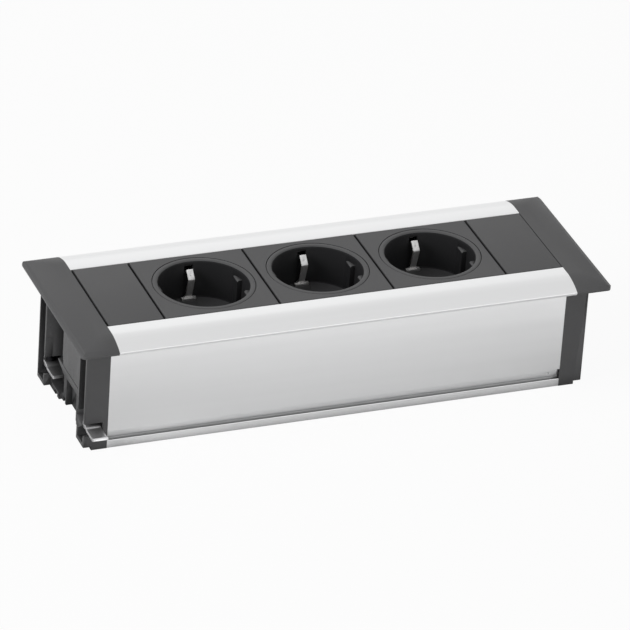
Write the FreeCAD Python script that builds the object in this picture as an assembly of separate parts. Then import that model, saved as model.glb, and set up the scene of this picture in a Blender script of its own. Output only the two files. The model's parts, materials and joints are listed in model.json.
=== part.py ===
import FreeCAD, Part
import math
import os

# In-desk power module with three earthed sockets, in millimetres.
# Origin: centre of the base, on the surface that the feet rest on.
# +X runs along the module, +Z is up, -Y is the near long side.

# Overall sizes
profile_length = 206.6
body_depth = 63.0
overall_height = 55.6
end_thickness = 10.6
flange_overhang = 10.7
cap_overhang = 6.1

# Flange round the desk cut-out
flange_depth = 4.6
crown_width = 5.8
crown_radius = 22.0
nose_drop = 3.3
nose_radius = 0.6
lip_width = 1.6
lip_rise = 0.9
lip_inset = 0.15
core_inset = 8.8
core_rise = 2.5
bay_inset = 6.7
cap_corner_radius = 3.5
edge_radius = 0.3

# Aluminium profile
profile_wall = 1.6
ledge_reach = 1.9
ledge_thickness = 1.4
foot_rail_height = 3.9
foot_rail_depth = 5.5
groove_depth = 1.3
groove_height = 0.6
cove_rise = 3.5
shoulder_rise = 1.2
cover_slot_depth = 2.4
cover_seat = 1.2
port_radius = 3.2
port_sink = 0.15
port_mouth = 1.8
port_heights = (18.0, 42.0)
pilot_radius = 0.55
pilot_inset = 5.5
pilot_height = 6.8
end_relief = (1.2, 4.0)

# Socket and blank modules
socket_count = 3
module_pitch = 51.65
module_gap = 1.0
plate_thickness = 3.0
skirt_thickness = 1.4
skirt_inset = 0.5
skirt_depth = 7.6
skirt_side_inset = 3.8
hook_width = 8.0
hook_thickness = 1.1
hook_nose = 1.4
hook_nose_height = 2.4
hook_spacing = 28.0
fit_clearance = 0.2

# Socket recess
recess_diameter = 39.0
mouth_diameter = 40.0
recess_depth = 17.5
cup_wall = 1.8
cup_floor = 2.2
rim_width = 2.1
rim_thickness = 1.8
pin_spacing = 19.0
pin_hole_diameter = 5.2
key_reach = 2.1
key_width = 1.7
key_gap = 8.8
key_top_drop = 2.5
key_slope = 2.0
clip_window_width = 5.6
clip_window_top = 1.9
clip_window_height = 7.6

# Earth strap
strap_thickness = 0.8
strap_width = 6.4
tongue_width = 3.2
tongue_foot = 16.2
tongue_bend = 14.0
tongue_tip = 16.0
tongue_bend_drop = 6.6
tongue_tip_drop = 2.7
strap_shoulder = 1.0
strap_bend_radius = 0.5

# Socket base and current paths
base_length = 36.0
base_depth = 38.0
base_height = 18.0
base_floor = 1.4
base_corner_radius = 3.0
chamber_half = 3.7
bar_offset = 7.0
bar_thickness = 0.8
bar_height = 8.0
bar_drop = 7.9
bar_tail = 24.3
contact_height = 10.0
contact_lift = 1.0
contact_half = 2.5
contact_thickness = 0.7
contact_waist = 0.45
contact_tab = 3.0
earth_bar_offset = 12.0
earth_bar_width = 4.0

# Mains inlet and inner wires
inlet_length = 17.0
inlet_depth = 35.0
inlet_height = 24.5
inlet_wall = 1.6
inlet_cavity = 18.0
inlet_corner_radius = 2.0
inlet_collar = 2.0
inlet_collar_thickness = 2.0
inlet_pin_radius = 1.6
inlet_pin_length = 13.0
inlet_pin_spacing = 10.0
inlet_tag = (4.0, 0.8, 3.5)
inlet_key_width = 2.4
wire_radius = 1.1
wire_rise = 15.2
wire_bend = 6.75
earth_wire_bend = 3.0
ferrule_radius = 1.5
ferrule_length = 3.0

# Bottom cover
cover_thickness = 2.0
cover_rib_height = 1.2
cover_rib_width = 1.6
cover_rib_spacing = 34.0

# End bodies
slot_floor = 2.3
slot_half_width = 3.5
slot_lip = 1.0
strip_radius = 0.6
lug_thickness = 2.4
lug_top_gap = 2.0
pocket_span = (10.2, 21.5)
pocket_top_gap = 1.4
step_span = (6.1, 10.2)
step_recess = 1.8
ramp_span = (-2.0, 6.1)
ramp_recess = 2.4
ledge_height = 25.6
web_steps = ((22.0, 3.3), (12.0, 5.0), (6.5, 7.6))
tooth_size = (2.2, 2.6)
tooth_places = (9.0, 15.5)
foot_step = (3.6, 1.6)
tenon_reach = 2.0
tenon_side_inset = 9.5
tenon_span = (8.0, 36.0)
tenon_wall = 1.6
peg_radius = 1.7
peg_length = 5.0
peg_places = (-14.0, 2.0)
cap_pocket_depth = 2.4
cap_hollow_inset = 2.6
cap_hollow_wall = 1.6

# End screws
end_screw_radius = 1.65
end_screw_head_radius = 3.2
end_screw_head_depth = 1.7
end_screw_length = 14.0
thread_clearance = 0.08
recess_width = 0.9
recess_reach = 1.9
recess_sink = 1.0

# Claws and clamp screws
claw_axis_back = 4.6
claw_axis_margin = 4.7
claw_height = 11.6
claw_thickness = 1.3
claw_width = 6.6
claw_reach = 14.0
claw_hub_reach = 3.0
claw_joggle = 2.0
claw_joggle_run = 1.8
claw_hook_back = 2.4
claw_hook_lean = 0.2
claw_hook_height = 3.2
claw_tip_run = 1.2
claw_tip_back = 0.4
claw_tip_rise = 0.9
claw_bend_radius = 0.45
claw_boss_radius = 3.0
claw_boss_height = 2.2
claw_swing_gap = 0.35
claw_bay_above = 4.2
claw_bay_below = 4.6
claw_notch_above = 1.4
clamp_screw_radius = 1.9
clamp_head_radius = 3.4
clamp_head_height = 2.4
clamp_tip_height = 2.2
tip_seat_height = 3.4
tip_hole_gap = 0.2

# How far a cutting tool runs past its face, and how deep a joined piece sinks in
overrun = 1.0
weld_depth = 0.1

# Places worked out from the sizes above
half_length = profile_length / 2
half_body = body_depth / 2
half_depth = half_body + flange_overhang
half_bay = half_body - bay_inset
cap_reach = end_thickness + cap_overhang
top = overall_height
flange_bottom = top - flange_depth
wall_inner = half_body - profile_wall
ledge_top = top - plate_thickness
ledge_bottom = ledge_top - ledge_thickness
port_offset = wall_inner + port_sink - port_radius
recess_radius = recess_diameter / 2
recess_floor = top - recess_depth
cup_bottom = recess_floor - cup_floor
cup_radius = recess_radius + cup_wall
rim_radius = mouth_diameter / 2 + rim_width
base_bottom = cup_bottom - base_height
strap_level = cup_bottom - strap_thickness / 2
bar_top = cup_bottom - bar_drop
bar_bottom = bar_top - bar_height
earth_bar_top = cup_bottom - strap_thickness
socket_places = [(index - (socket_count - 1) / 2) * module_pitch for index in range(socket_count)]
sockets_half = socket_count * module_pitch / 2
inlet_place = (sockets_half + half_length) / 2
bar_end = socket_places[-1] + bar_tail
inlet_bottom = cover_seat
inlet_top = inlet_bottom + inlet_height
wire_arch = bar_top + wire_rise
tenon_half_depth = half_body - tenon_side_inset
claw_axis_inset = end_thickness - claw_axis_back
claw_axis_offset = half_body - claw_axis_margin
claw_bay_radius = claw_width / 2 + claw_swing_gap
slot_inner = claw_axis_offset - slot_half_width
slot_outer = claw_axis_offset + slot_half_width
clamp_head_seat = flange_bottom - lug_top_gap


def vector(x, y, z):
    return FreeCAD.Vector(x, y, z)


def box(x_span, y_span, z_span):
    """Box between two places along each axis."""
    corner = vector(min(x_span), min(y_span), min(z_span))
    sizes = [abs(span[1] - span[0]) for span in (x_span, y_span, z_span)]
    return Part.makeBox(*sizes, corner)


def rod(radius, start, end):
    """Round rod between two points."""
    along = end - start
    return Part.makeCylinder(radius, along.Length, start, along)


def cone(start_radius, end_radius, start, end):
    """Tapered rod between two points."""
    along = end - start
    return Part.makeCone(start_radius, end_radius, along.Length, start, along)


def rounded_path(points, radii, closed):
    """Edges through points, with a tangent arc of its own radius at each corner."""
    count = len(points)
    stops = []
    for index, point in enumerate(points):
        inner = closed or 0 < index < count - 1
        if not inner or radii[index] <= 0:
            stops.append((point, point, point))
            continue
        back = (points[index - 1] - point).normalize()
        ahead = (points[(index + 1) % count] - point).normalize()
        half_angle = back.getAngle(ahead) / 2
        reach = radii[index] / math.tan(half_angle)
        toward = (back + ahead).normalize()
        nearest = radii[index] / math.sin(half_angle) - radii[index]
        stops.append((point + back * reach, point + toward * nearest, point + ahead * reach))
    edges = []
    for index, (start, middle, end) in enumerate(stops):
        if (end - start).Length > 1e-6:
            edges.append(Part.Arc(start, middle, end).toShape())
        if index == count - 1 and not closed:
            break
        following = stops[(index + 1) % count][0]
        if (following - end).Length > 1e-6:
            edges.append(Part.LineSegment(end, following).toShape())
    return Part.Wire(edges)


def section(corners, place):
    """Flat face from corners (a, b, radius), where place turns a and b into a point."""
    points = [place(a, b) for a, b, radius in corners]
    return Part.Face(rounded_path(points, [corner[2] for corner in corners], True))


def prism_x(corners, start, end):
    """Section in Y and Z, drawn out along X."""
    return section(corners, lambda y, z: vector(start, y, z)).extrude(vector(end - start, 0, 0))


def prism_y(corners, start, end):
    """Section in X and Z, drawn out along Y."""
    return section(corners, lambda x, z: vector(x, start, z)).extrude(vector(0, end - start, 0))


def prism_z(corners, start, end):
    """Section in X and Y, drawn out along Z."""
    return section(corners, lambda x, y: vector(x, y, start)).extrude(vector(0, 0, end - start))


def rounded_block(x_span, y_span, z_span, radius):
    """Box with rounded upright edges."""
    outline = [(x_span[0], y_span[0], radius), (x_span[1], y_span[0], radius),
               (x_span[1], y_span[1], radius), (x_span[0], y_span[1], radius)]
    return prism_z(outline, z_span[0], z_span[1])


def strip_outline(points, thickness, bend_radius):
    """Outline of a bent strip that follows the middle line through points."""
    sides = ([], [])
    count = len(points)
    for index, (a, b) in enumerate(points):
        before = points[max(index - 1, 0)]
        after = points[min(index + 1, count - 1)]
        here = vector(a, b, 0)
        runs = [vector(*run, 0) for run in (before, after)]
        directions = [(here - runs[0]), (runs[1] - here)]
        directions = [run.normalize() for run in directions if run.Length > 0]
        along = (directions[0] + directions[-1]).normalize()
        across = vector(-along.y, along.x, 0)
        stretch = thickness / 2 / math.cos(along.getAngle(directions[0]))
        turn = directions[0].cross(directions[-1]).z
        for side, sign in zip(sides, (1, -1)):
            corner = here + across * stretch * sign
            radius = 0
            if len(directions) == 2 and abs(turn) > 1e-6:
                radius = bend_radius if turn * sign > 0 else bend_radius + thickness
            side.append((corner.x, corner.y, radius))
    return sides[0] + sides[1][::-1]


def tube(points, radius, bend_radius):
    """Round wire along straight runs joined by tangent arcs."""
    runs = []
    for edge in rounded_path(points, [bend_radius] * len(points), False).Edges:
        first, last = edge.ParameterRange
        start = edge.valueAt(first)
        disc = Part.Face(Part.Wire(Part.Circle(start, edge.tangentAt(first), radius).toShape()))
        if edge.Curve.TypeId == "Part::GeomLine":
            runs.append(disc.extrude(edge.valueAt(last) - start))
        else:
            runs.append(disc.revolve(edge.Curve.Center, edge.Curve.Axis, math.degrees(last - first)))
    return runs


def turned(shape):
    """Copy turned half round about the middle of the module."""
    copy = shape.copy()
    copy.rotate(vector(0, 0, 0), vector(0, 0, 1), 180)
    return copy


def moved(shape, x):
    copy = shape.copy()
    copy.translate(vector(x, 0, 0))
    return copy


def fused(shapes):
    """One clean solid from shapes that meet."""
    return shapes[0].fuse(shapes[1:]).removeSplitter()


def crown_corners(outer):
    """Curved outer edge of the flange, from its crown to its underside at a signed reach."""
    start = math.copysign(abs(outer) - crown_width, outer)
    return [(start, top, crown_radius),
            (outer, top - nose_drop, nose_radius),
            (outer, flange_bottom, edge_radius)]


def profile_section():
    """Near profile's outline: flange, wall, foot rail, cover slot and module ledge."""
    wall = -half_body
    inner = -wall_inner
    lip = lip_width - half_depth
    core = core_inset - half_depth
    groove = -(half_body - groove_depth)
    groove_top = foot_rail_height + groove_height
    foot_inner = -(half_body - foot_rail_depth)
    slot = foot_inner - cover_slot_depth
    slot_top = cover_seat + cover_thickness + fit_clearance
    shoulder = slot_top + ledge_thickness
    return [(-half_bay, top, edge_radius)] + crown_corners(-half_depth) + [
        (lip, flange_bottom, 0),
        (lip + lip_inset, flange_bottom + lip_rise, 0),
        (core, flange_bottom + core_rise, 0),
        (core, flange_bottom, 0),
        (wall, flange_bottom, 0),
        (wall, groove_top + cove_rise, cove_rise),
        (groove, groove_top, edge_radius),
        (groove, foot_rail_height, 0),
        (wall, foot_rail_height, edge_radius),
        (wall, 0, edge_radius),
        (foot_inner, 0, edge_radius),
        (foot_inner, cover_seat, 0),
        (slot, cover_seat, 0),
        (slot, slot_top, 0),
        (foot_inner, slot_top, 0),
        (foot_inner, shoulder, 0),
        (slot, shoulder, 0),
        (slot, shoulder + cove_rise, 0),
        (inner, shoulder + cove_rise + shoulder_rise, 0),
        (inner, ledge_bottom, 0),
        (-half_bay + ledge_reach, ledge_bottom, 0),
        (-half_bay + ledge_reach, ledge_top, 0),
        (-half_bay, ledge_top, 0)]


def screw_port(height):
    """Round channel on the profile's inner wall, open towards the inside."""
    middle = vector(-half_length, -port_offset, height)
    end = vector(half_length, -port_offset, height)
    barrel = rod(port_radius, middle, end)
    bore = rod(end_screw_radius + thread_clearance, middle, end)
    mouth = box((-half_length, half_length), (-port_offset, -port_offset + port_radius + overrun),
                (height - port_mouth / 2, height + port_mouth / 2))
    return barrel, bore.fuse(mouth)


def profile():
    """Near side's extrusion; the far one is the same part turned round."""
    body = prism_x(profile_section(), -half_length, half_length)
    ports = [screw_port(height) for height in port_heights]
    body = fused([body] + [barrel for barrel, hollow in ports])
    for barrel, hollow in ports:
        body = body.cut(hollow)
    pilot_x = half_length - pilot_inset
    pilot = rod(pilot_radius, vector(pilot_x, -half_body - overrun, pilot_height),
                vector(pilot_x, -half_body + profile_wall / 2, pilot_height))
    relief_width, relief_height = end_relief
    relief = box((half_length - relief_width, half_length), (-half_body, -wall_inner),
                 (foot_rail_height + groove_height, foot_rail_height + groove_height + relief_height))
    return body.cut([pilot, relief])


def snap_hook(x, side):
    """Tongue under a module's plate whose nose catches below the profile's ledge."""
    outer = half_bay - ledge_reach - fit_clearance
    inner = outer - hook_thickness
    nose_top = ledge_bottom - fit_clearance
    nose_bottom = nose_top - hook_nose_height
    corners = [(side * inner, ledge_top, 0), (side * outer, ledge_top, 0),
               (side * outer, nose_top, 0), (side * (outer + hook_nose), nose_top, 0),
               (side * outer, nose_bottom, 0), (side * inner, nose_bottom, 0)]
    return prism_x(corners, x - hook_width / 2, x + hook_width / 2)


def module_plate(length, hook_places):
    """Flat module face with end skirts and snap hooks, centred on X = 0."""
    half = (length - module_gap) / 2
    depth = half_bay - fit_clearance
    plate = box((-half, half), (-depth, depth), (ledge_top, top))
    rim = [edge for edge in plate.Edges if edge.BoundBox.ZMin > top - 1e-6]
    pieces = [plate.makeChamfer(edge_radius, rim)]
    for side in (-1, 1):
        outer = side * (half - skirt_inset)
        inner = side * (half - skirt_inset - skirt_thickness)
        pieces.append(box((inner, outer), (skirt_side_inset - half_bay, half_bay - skirt_side_inset),
                          (ledge_top - skirt_depth, ledge_top)))
        pieces += [snap_hook(x, side) for x in hook_places]
    return fused(pieces)


def socket_frame():
    """Module face with the stepped round seat for a socket cup."""
    frame = module_plate(module_pitch, (-hook_spacing / 2, hook_spacing / 2))
    seat = top - rim_thickness
    wide = rod(rim_radius + fit_clearance, vector(0, 0, seat), vector(0, 0, top + overrun))
    narrow = rod(cup_radius + fit_clearance, vector(0, 0, 0), vector(0, 0, top))
    return frame.cut([wide, narrow])


def blank():
    """Half-width plain module beside the end piece."""
    return module_plate(half_length - sockets_half, (0,))


def guide_key(side_x, side_y):
    """Upright rib that guides a plug's side, sloped at its top."""
    inner = recess_radius - key_reach
    outer = recess_radius + cup_wall / 2
    key_top = top - key_top_drop
    foot = recess_floor - weld_depth
    outline = [(inner, foot), (outer, foot),
               (outer, key_top), (inner + key_reach / 2, key_top), (inner, key_top - key_slope)]
    near = side_y * (key_gap / 2)
    far = side_y * (key_gap / 2 + key_width)
    points = [vector(side_x * x, near, z) for x, z in outline]
    face = Part.Face(Part.makePolygon(points + points[:1]))
    return face.extrude(vector(0, far - near, 0))


def socket_cup():
    """Round socket recess with its rim, pin holes, guide ribs and clip windows."""
    lead = (mouth_diameter - recess_diameter) / 2
    outline = [(0, cup_bottom), (cup_radius, cup_bottom), (cup_radius, top - rim_thickness),
               (rim_radius, top - rim_thickness), (rim_radius, top - lead / 2),
               (rim_radius - lead / 2, top), (recess_radius + lead, top),
               (recess_radius, top - lead), (recess_radius, recess_floor), (0, recess_floor)]
    points = [vector(x, 0, z) for x, z in outline]
    cup = Part.Face(Part.makePolygon(points + points[:1])).revolve(vector(0, 0, 0), vector(0, 0, 1), 360)
    cup = fused([cup] + [guide_key(x, y) for x in (-1, 1) for y in (-1, 1)])
    tools = []
    for side in (-1, 1):
        pin = side * pin_spacing / 2
        tools.append(rod(pin_hole_diameter / 2, vector(pin, 0, cup_bottom - overrun),
                         vector(pin, 0, recess_floor + overrun)))
        slot_half = strap_width / 2 + fit_clearance
        slot_near = side * (tongue_foot - strap_thickness / 2 - strap_bend_radius)
        slot_far = side * (tongue_foot + strap_thickness / 2 + fit_clearance)
        tools.append(box((-slot_half, slot_half), (slot_near, slot_far),
                         (cup_bottom - overrun, recess_floor + overrun)))
        window_top = top - clip_window_top
        tools.append(box((-clip_window_width / 2, clip_window_width / 2),
                         (side * (tongue_tip + strap_thickness), side * (cup_radius + overrun)),
                         (window_top - clip_window_height, window_top)))
    return cup.cut(tools)


def earth_strap():
    """Bent strip under the floor whose two tongues are the earth clips."""
    half = [(tongue_foot, strap_level), (tongue_foot, recess_floor + strap_shoulder),
            (tongue_bend, top - tongue_bend_drop), (tongue_tip, top - tongue_tip_drop)]
    middle_line = [(-y, z) for y, z in half[::-1]] + half
    outline = strip_outline(middle_line, strap_thickness, strap_bend_radius)
    strap = prism_x(outline, -strap_width / 2, strap_width / 2)
    waste = []
    for side in (-1, 1):
        waste.append(box((side * tongue_width / 2, side * strap_width), (-half_bay, half_bay),
                         (recess_floor + strap_shoulder, top)))
    return strap.cut(waste)


def socket_base():
    """Tray under the cup that holds the contacts and bars apart."""
    half_x = base_length / 2
    half_y = base_depth / 2
    tray = rounded_block((-half_x, half_x), (-half_y, half_y), (base_bottom, cup_bottom),
                         base_corner_radius)
    slot_half = bar_thickness / 2 + fit_clearance
    tools = []
    for side in (-1, 1):
        contact = side * pin_spacing / 2
        chamber_y = (side * chamber_half, -side * (bar_offset + slot_half))
        tools.append(box((contact - chamber_half, contact + chamber_half), chamber_y,
                         (base_bottom + base_floor, cup_bottom)))
        bar_slot = (side * (bar_offset - slot_half), side * (bar_offset + slot_half))
        tools.append(box((-half_x, half_x), bar_slot, (bar_bottom, cup_bottom)))
    strap_half = strap_width / 2 + fit_clearance
    tools.append(box((-strap_half, strap_half), (-half_y, half_y),
                     (cup_bottom - strap_thickness - strap_bend_radius, cup_bottom)))
    earth_half = earth_bar_width / 2 + fit_clearance
    tools.append(box((-half_x, half_x), (-earth_bar_offset - earth_half, -earth_bar_offset + earth_half),
                     (earth_bar_top - bar_thickness, cup_bottom)))
    return tray.cut(tools)


def contact(x, side):
    """Sprung C-shaped contact that grips one pin, with its tab to the bar."""
    back = side * (contact_half + contact_thickness)
    waist = contact_half - contact_waist
    middle_line = [(x - waist, -side * contact_half), (x - contact_half, 0), (x - contact_half, back),
                   (x + contact_half, back), (x + contact_half, 0), (x + waist, -side * contact_half)]
    outline = strip_outline(middle_line, contact_thickness, contact_thickness / 3)
    foot = bar_bottom + contact_lift
    leaves = prism_z(outline, foot, foot + contact_height)
    tab = box((x - contact_tab / 2, x + contact_tab / 2), (back, side * bar_offset),
              (foot, foot + contact_tab))
    return [leaves, tab]


def busbar(side):
    """Flat bar along the module with one contact for each socket."""
    start = socket_places[0] - pin_spacing / 2 - contact_half
    half = bar_thickness / 2
    pieces = [box((start, bar_end), (side * bar_offset - half, side * bar_offset + half),
                  (bar_bottom, bar_top))]
    for place in socket_places:
        pieces += contact(place - side * pin_spacing / 2, side)
    return fused(pieces)


def earth_busbar():
    """Flat bar that joins the earth straps."""
    start = socket_places[0] - strap_width
    half = earth_bar_width / 2
    return box((start, bar_end), (-earth_bar_offset - half, -earth_bar_offset + half),
               (earth_bar_top - bar_thickness, earth_bar_top))


def inlet_housing():
    """Recessed three-pole mains inlet, open downwards through the bottom cover."""
    half_x = inlet_length / 2
    half_y = inlet_depth / 2
    x_span = (inlet_place - half_x, inlet_place + half_x)
    shell = rounded_block(x_span, (-half_y, half_y), (inlet_bottom, inlet_top), inlet_corner_radius)
    collar_bottom = cover_seat + cover_thickness
    collar = rounded_block((x_span[0] - inlet_collar, x_span[1] + inlet_collar),
                           (-half_y - inlet_collar, half_y + inlet_collar),
                           (collar_bottom, collar_bottom + inlet_collar_thickness), inlet_corner_radius)
    cavity = rounded_block((x_span[0] + inlet_wall, x_span[1] - inlet_wall),
                           (-half_y + inlet_wall, half_y - inlet_wall),
                           (inlet_bottom - overrun, inlet_bottom + inlet_cavity), inlet_corner_radius / 2)
    housing = fused([shell, collar]).cut(cavity)
    key_half = inlet_key_width / 2
    wall = x_span[1] - inlet_wall
    keys = [box((wall - inlet_key_width / 2, wall + weld_depth), (y - key_half, y + key_half),
                (inlet_bottom + overrun, inlet_bottom + inlet_cavity + weld_depth))
            for y in (-inlet_pin_spacing / 2, inlet_pin_spacing / 2)]
    housing = fused([housing] + keys)
    holes = []
    for y in inlet_rows():
        foot = vector(inlet_place, y, inlet_bottom)
        holes.append(rod(inlet_pin_radius, foot, foot + vector(0, 0, inlet_height + overrun)))
    return housing.cut(holes)


def inlet_rows():
    return (-inlet_pin_spacing, 0, inlet_pin_spacing)


def inlet_pins():
    """Three round pins with a flat tag on top of each."""
    width, thickness, height = inlet_tag
    pin_bottom = inlet_bottom + inlet_cavity - inlet_pin_length
    pins = []
    for y in inlet_rows():
        pin = rod(inlet_pin_radius, vector(inlet_place, y, pin_bottom), vector(inlet_place, y, inlet_top))
        tip = [edge for edge in pin.Edges if edge.BoundBox.ZMax < pin_bottom + 1e-6]
        tag = box((inlet_place - width / 2, inlet_place + width / 2), (y - thickness / 2, y + thickness / 2),
                  (inlet_top, inlet_top + height))
        pins.append(fused([pin.makeChamfer(inlet_pin_radius / 3, tip), tag]))
    return Part.makeCompound(pins)


def arched_wire(pin_y, bar_y):
    """Wire from an inlet tag up, across and down onto the end of a bar."""
    start = vector(inlet_place, pin_y, inlet_top + inlet_tag[2])
    end = vector(bar_end - ferrule_radius, bar_y, bar_top)
    points = [start, vector(start.x, start.y, wire_arch), vector(end.x, end.y, wire_arch), end]
    foot = rod(ferrule_radius, end, end + vector(0, 0, ferrule_length))
    cap = rod(ferrule_radius, start, start + vector(0, 0, ferrule_length))
    return fused(tube(points, wire_radius, wire_bend) + [foot, cap])


def earth_wire():
    """Wire from the inlet's last tag onto the end of the earth bar."""
    start = vector(inlet_place, -inlet_pin_spacing, inlet_top + inlet_tag[2])
    end = vector(bar_end - ferrule_length, -earth_bar_offset, earth_bar_top + ferrule_radius)
    corner = vector(start.x, start.y, end.z)
    foot = rod(ferrule_radius, end, end + (corner - end).normalize() * ferrule_length)
    cap = rod(ferrule_radius, start, start + vector(0, 0, ferrule_length / 2))
    return fused(tube([start, corner, end], wire_radius, earth_wire_bend) + [foot, cap])


def bottom_cover():
    """Plate that slides into the profiles' slots, with the inlet's opening."""
    half_y = half_body - foot_rail_depth + cover_slot_depth - fit_clearance
    plate = box((-half_length, half_length), (-half_y, half_y), (cover_seat, cover_seat + cover_thickness))
    ribs = []
    for y in (-cover_rib_spacing / 2, 0, cover_rib_spacing / 2):
        ribs.append(box((-half_length, sockets_half - inlet_wall),
                        (y - cover_rib_width / 2, y + cover_rib_width / 2),
                        (cover_seat + cover_thickness, cover_seat + cover_thickness + cover_rib_height)))
    hole_x = inlet_length / 2 + fit_clearance
    hole_y = inlet_depth / 2 + fit_clearance
    hole = rounded_block((inlet_place - hole_x, inlet_place + hole_x), (-hole_y, hole_y),
                         (0, top), inlet_corner_radius + fit_clearance)
    return fused([plate] + ribs).cut(hole)


def along_end(inset):
    """Place along X of a point inset outwards from the left end of the profiles."""
    return -half_length - inset


def end_box(inset_span, y_span, z_span):
    """Box of the left end body, by its distance out from the profiles."""
    return box((along_end(inset_span[0]), along_end(inset_span[1])), y_span, z_span)


def claw_axis(side):
    return vector(along_end(claw_axis_inset), side * claw_axis_offset, 0)


def end_blank():
    """Left end body before its pockets: block, foot and tenon into the profiles."""
    x_span = (along_end(end_thickness), along_end(0))
    outline = [(x_span[0], -half_body, strip_radius), (x_span[1], -half_body, 0),
               (x_span[1], half_body, 0), (x_span[0], half_body, strip_radius)]
    block = prism_z(outline, 0, flange_bottom)
    step_width, step_height = foot_step
    block = block.cut(end_box((end_thickness - step_width, end_thickness + overrun),
                              (-half_body - overrun, half_body + overrun), (-overrun, step_height)))
    low, high = tenon_span
    tenon = end_box((-tenon_reach, 0), (-tenon_half_depth, tenon_half_depth), (low, high))
    inner_half = tenon_half_depth - tenon_wall
    hollow = end_box((-tenon_reach - overrun, 0), (-inner_half, inner_half),
                     (low + tenon_wall, high - tenon_wall))
    return fused([block, tenon.cut(hollow)])


def guide_slots():
    """Upright slots in which the clamp screws stand, above and below each head lug."""
    tools = []
    for side in (-1, 1):
        y_span = (side * slot_inner, side * slot_outer)
        lug_bottom = clamp_head_seat - lug_thickness
        tools.append(end_box((slot_floor, end_thickness + overrun), y_span, (tip_seat_height, lug_bottom)))
        tools.append(end_box((slot_floor, end_thickness - slot_lip), y_span,
                             (clamp_head_seat, flange_bottom + overrun)))
        axis = claw_axis(side)
        hole_foot = axis + vector(0, 0, clamp_tip_height - tip_hole_gap)
        tools.append(rod(clamp_screw_radius + thread_clearance, hole_foot, axis + vector(0, 0, top)))
    return tools


def claw_bay(side, parked_side):
    """Room for a claw's hub and for the sector that its arm sweeps."""
    axis = claw_axis(side)
    low = claw_height - claw_bay_below
    high = claw_height + claw_bay_above
    hub = rod(claw_bay_radius, axis + vector(0, 0, low), axis + vector(0, 0, high))
    reach = parked_side * (claw_reach + claw_swing_gap)
    inner = claw_axis_inset - claw_bay_radius
    arm = end_box((inner, end_thickness + overrun), (axis.y, axis.y + reach), (low, high))
    return [hub, arm]


def end_relief_tools():
    """Pocket, step and ramp of the end face, and the stepped lower web."""
    outside = end_thickness + overrun
    tools = [end_box((slot_floor, outside), pocket_span, (tip_seat_height, flange_bottom - pocket_top_gap))]
    tools.append(end_box((end_thickness - step_recess - ramp_recess, outside), step_span,
                         (tip_seat_height, flange_bottom)))
    ramp = [(along_end(end_thickness), ramp_span[0], 0), (along_end(end_thickness), ramp_span[1], 0),
            (along_end(end_thickness - ramp_recess), ramp_span[1], 0)]
    tools.append(prism_z(ramp, ledge_height, flange_bottom))
    for reach, recess in web_steps:
        tools.append(end_box((end_thickness - recess, outside), (-reach, reach), (-overrun, ledge_height)))
    width, height = tooth_size
    for place in tooth_places:
        for side in (-1, 1):
            y_span = (side * place - width / 2, side * place + width / 2)
            tools.append(end_box((slot_floor, outside), y_span, (-overrun, height)))
    return tools


def end_body():
    """Left end body; the right one is the same part turned round."""
    tools = guide_slots() + claw_bay(-1, 1) + claw_bay(1, -1) + end_relief_tools()
    axis = claw_axis(-1)
    tools.append(end_box((claw_axis_inset - claw_bay_radius, end_thickness + overrun),
                         (axis.y, -half_body - overrun),
                         (claw_height - claw_bay_below, claw_height + claw_notch_above)))
    for place in peg_places:
        peg = vector(along_end(end_thickness / 2), place, flange_bottom - peg_length - fit_clearance)
        tools.append(rod(peg_radius + thread_clearance, peg, vector(peg.x, peg.y, top)))
    tools += [end_screw(side, height, thread_clearance) for side in (-1, 1) for height in port_heights]
    return end_blank().cut(tools)


def end_screw(side, height, extra):
    """Countersunk screw through the end body's slot floor into a profile port."""
    seat = along_end(slot_floor)
    middle = vector(seat, side * port_offset, height)
    neck = middle + vector(end_screw_head_depth, 0, 0)
    head = cone(end_screw_head_radius + extra, end_screw_radius + extra, middle, neck)
    shank = rod(end_screw_radius + extra, middle, middle + vector(end_screw_length, 0, 0))
    return head.fuse(shank).removeSplitter()


def cross_recess(centre, outward):
    """Cross-shaped driver recess cut into a screw head."""
    sink = centre - outward * recess_sink
    reach = recess_reach
    half = recess_width / 2
    arms = []
    for long_axis in (0, 1):
        spans = [half, half]
        spans[long_axis] = reach
        if abs(outward.x) > 0.5:
            arms.append(box((sink.x, centre.x + outward.x), (centre.y - spans[0], centre.y + spans[0]),
                            (centre.z - spans[1], centre.z + spans[1])))
        else:
            arms.append(box((centre.x - spans[0], centre.x + spans[0]),
                            (centre.y - spans[1], centre.y + spans[1]), (sink.z, centre.z + outward.z)))
    return arms[0].fuse(arms[1])


def end_screws():
    """The four screws of the left end body."""
    screws = []
    for side in (-1, 1):
        for height in port_heights:
            face = vector(along_end(slot_floor), side * port_offset, height)
            screws.append(end_screw(side, height, 0).cut(cross_recess(face, vector(-1, 0, 0))))
    return Part.makeCompound(screws)


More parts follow.
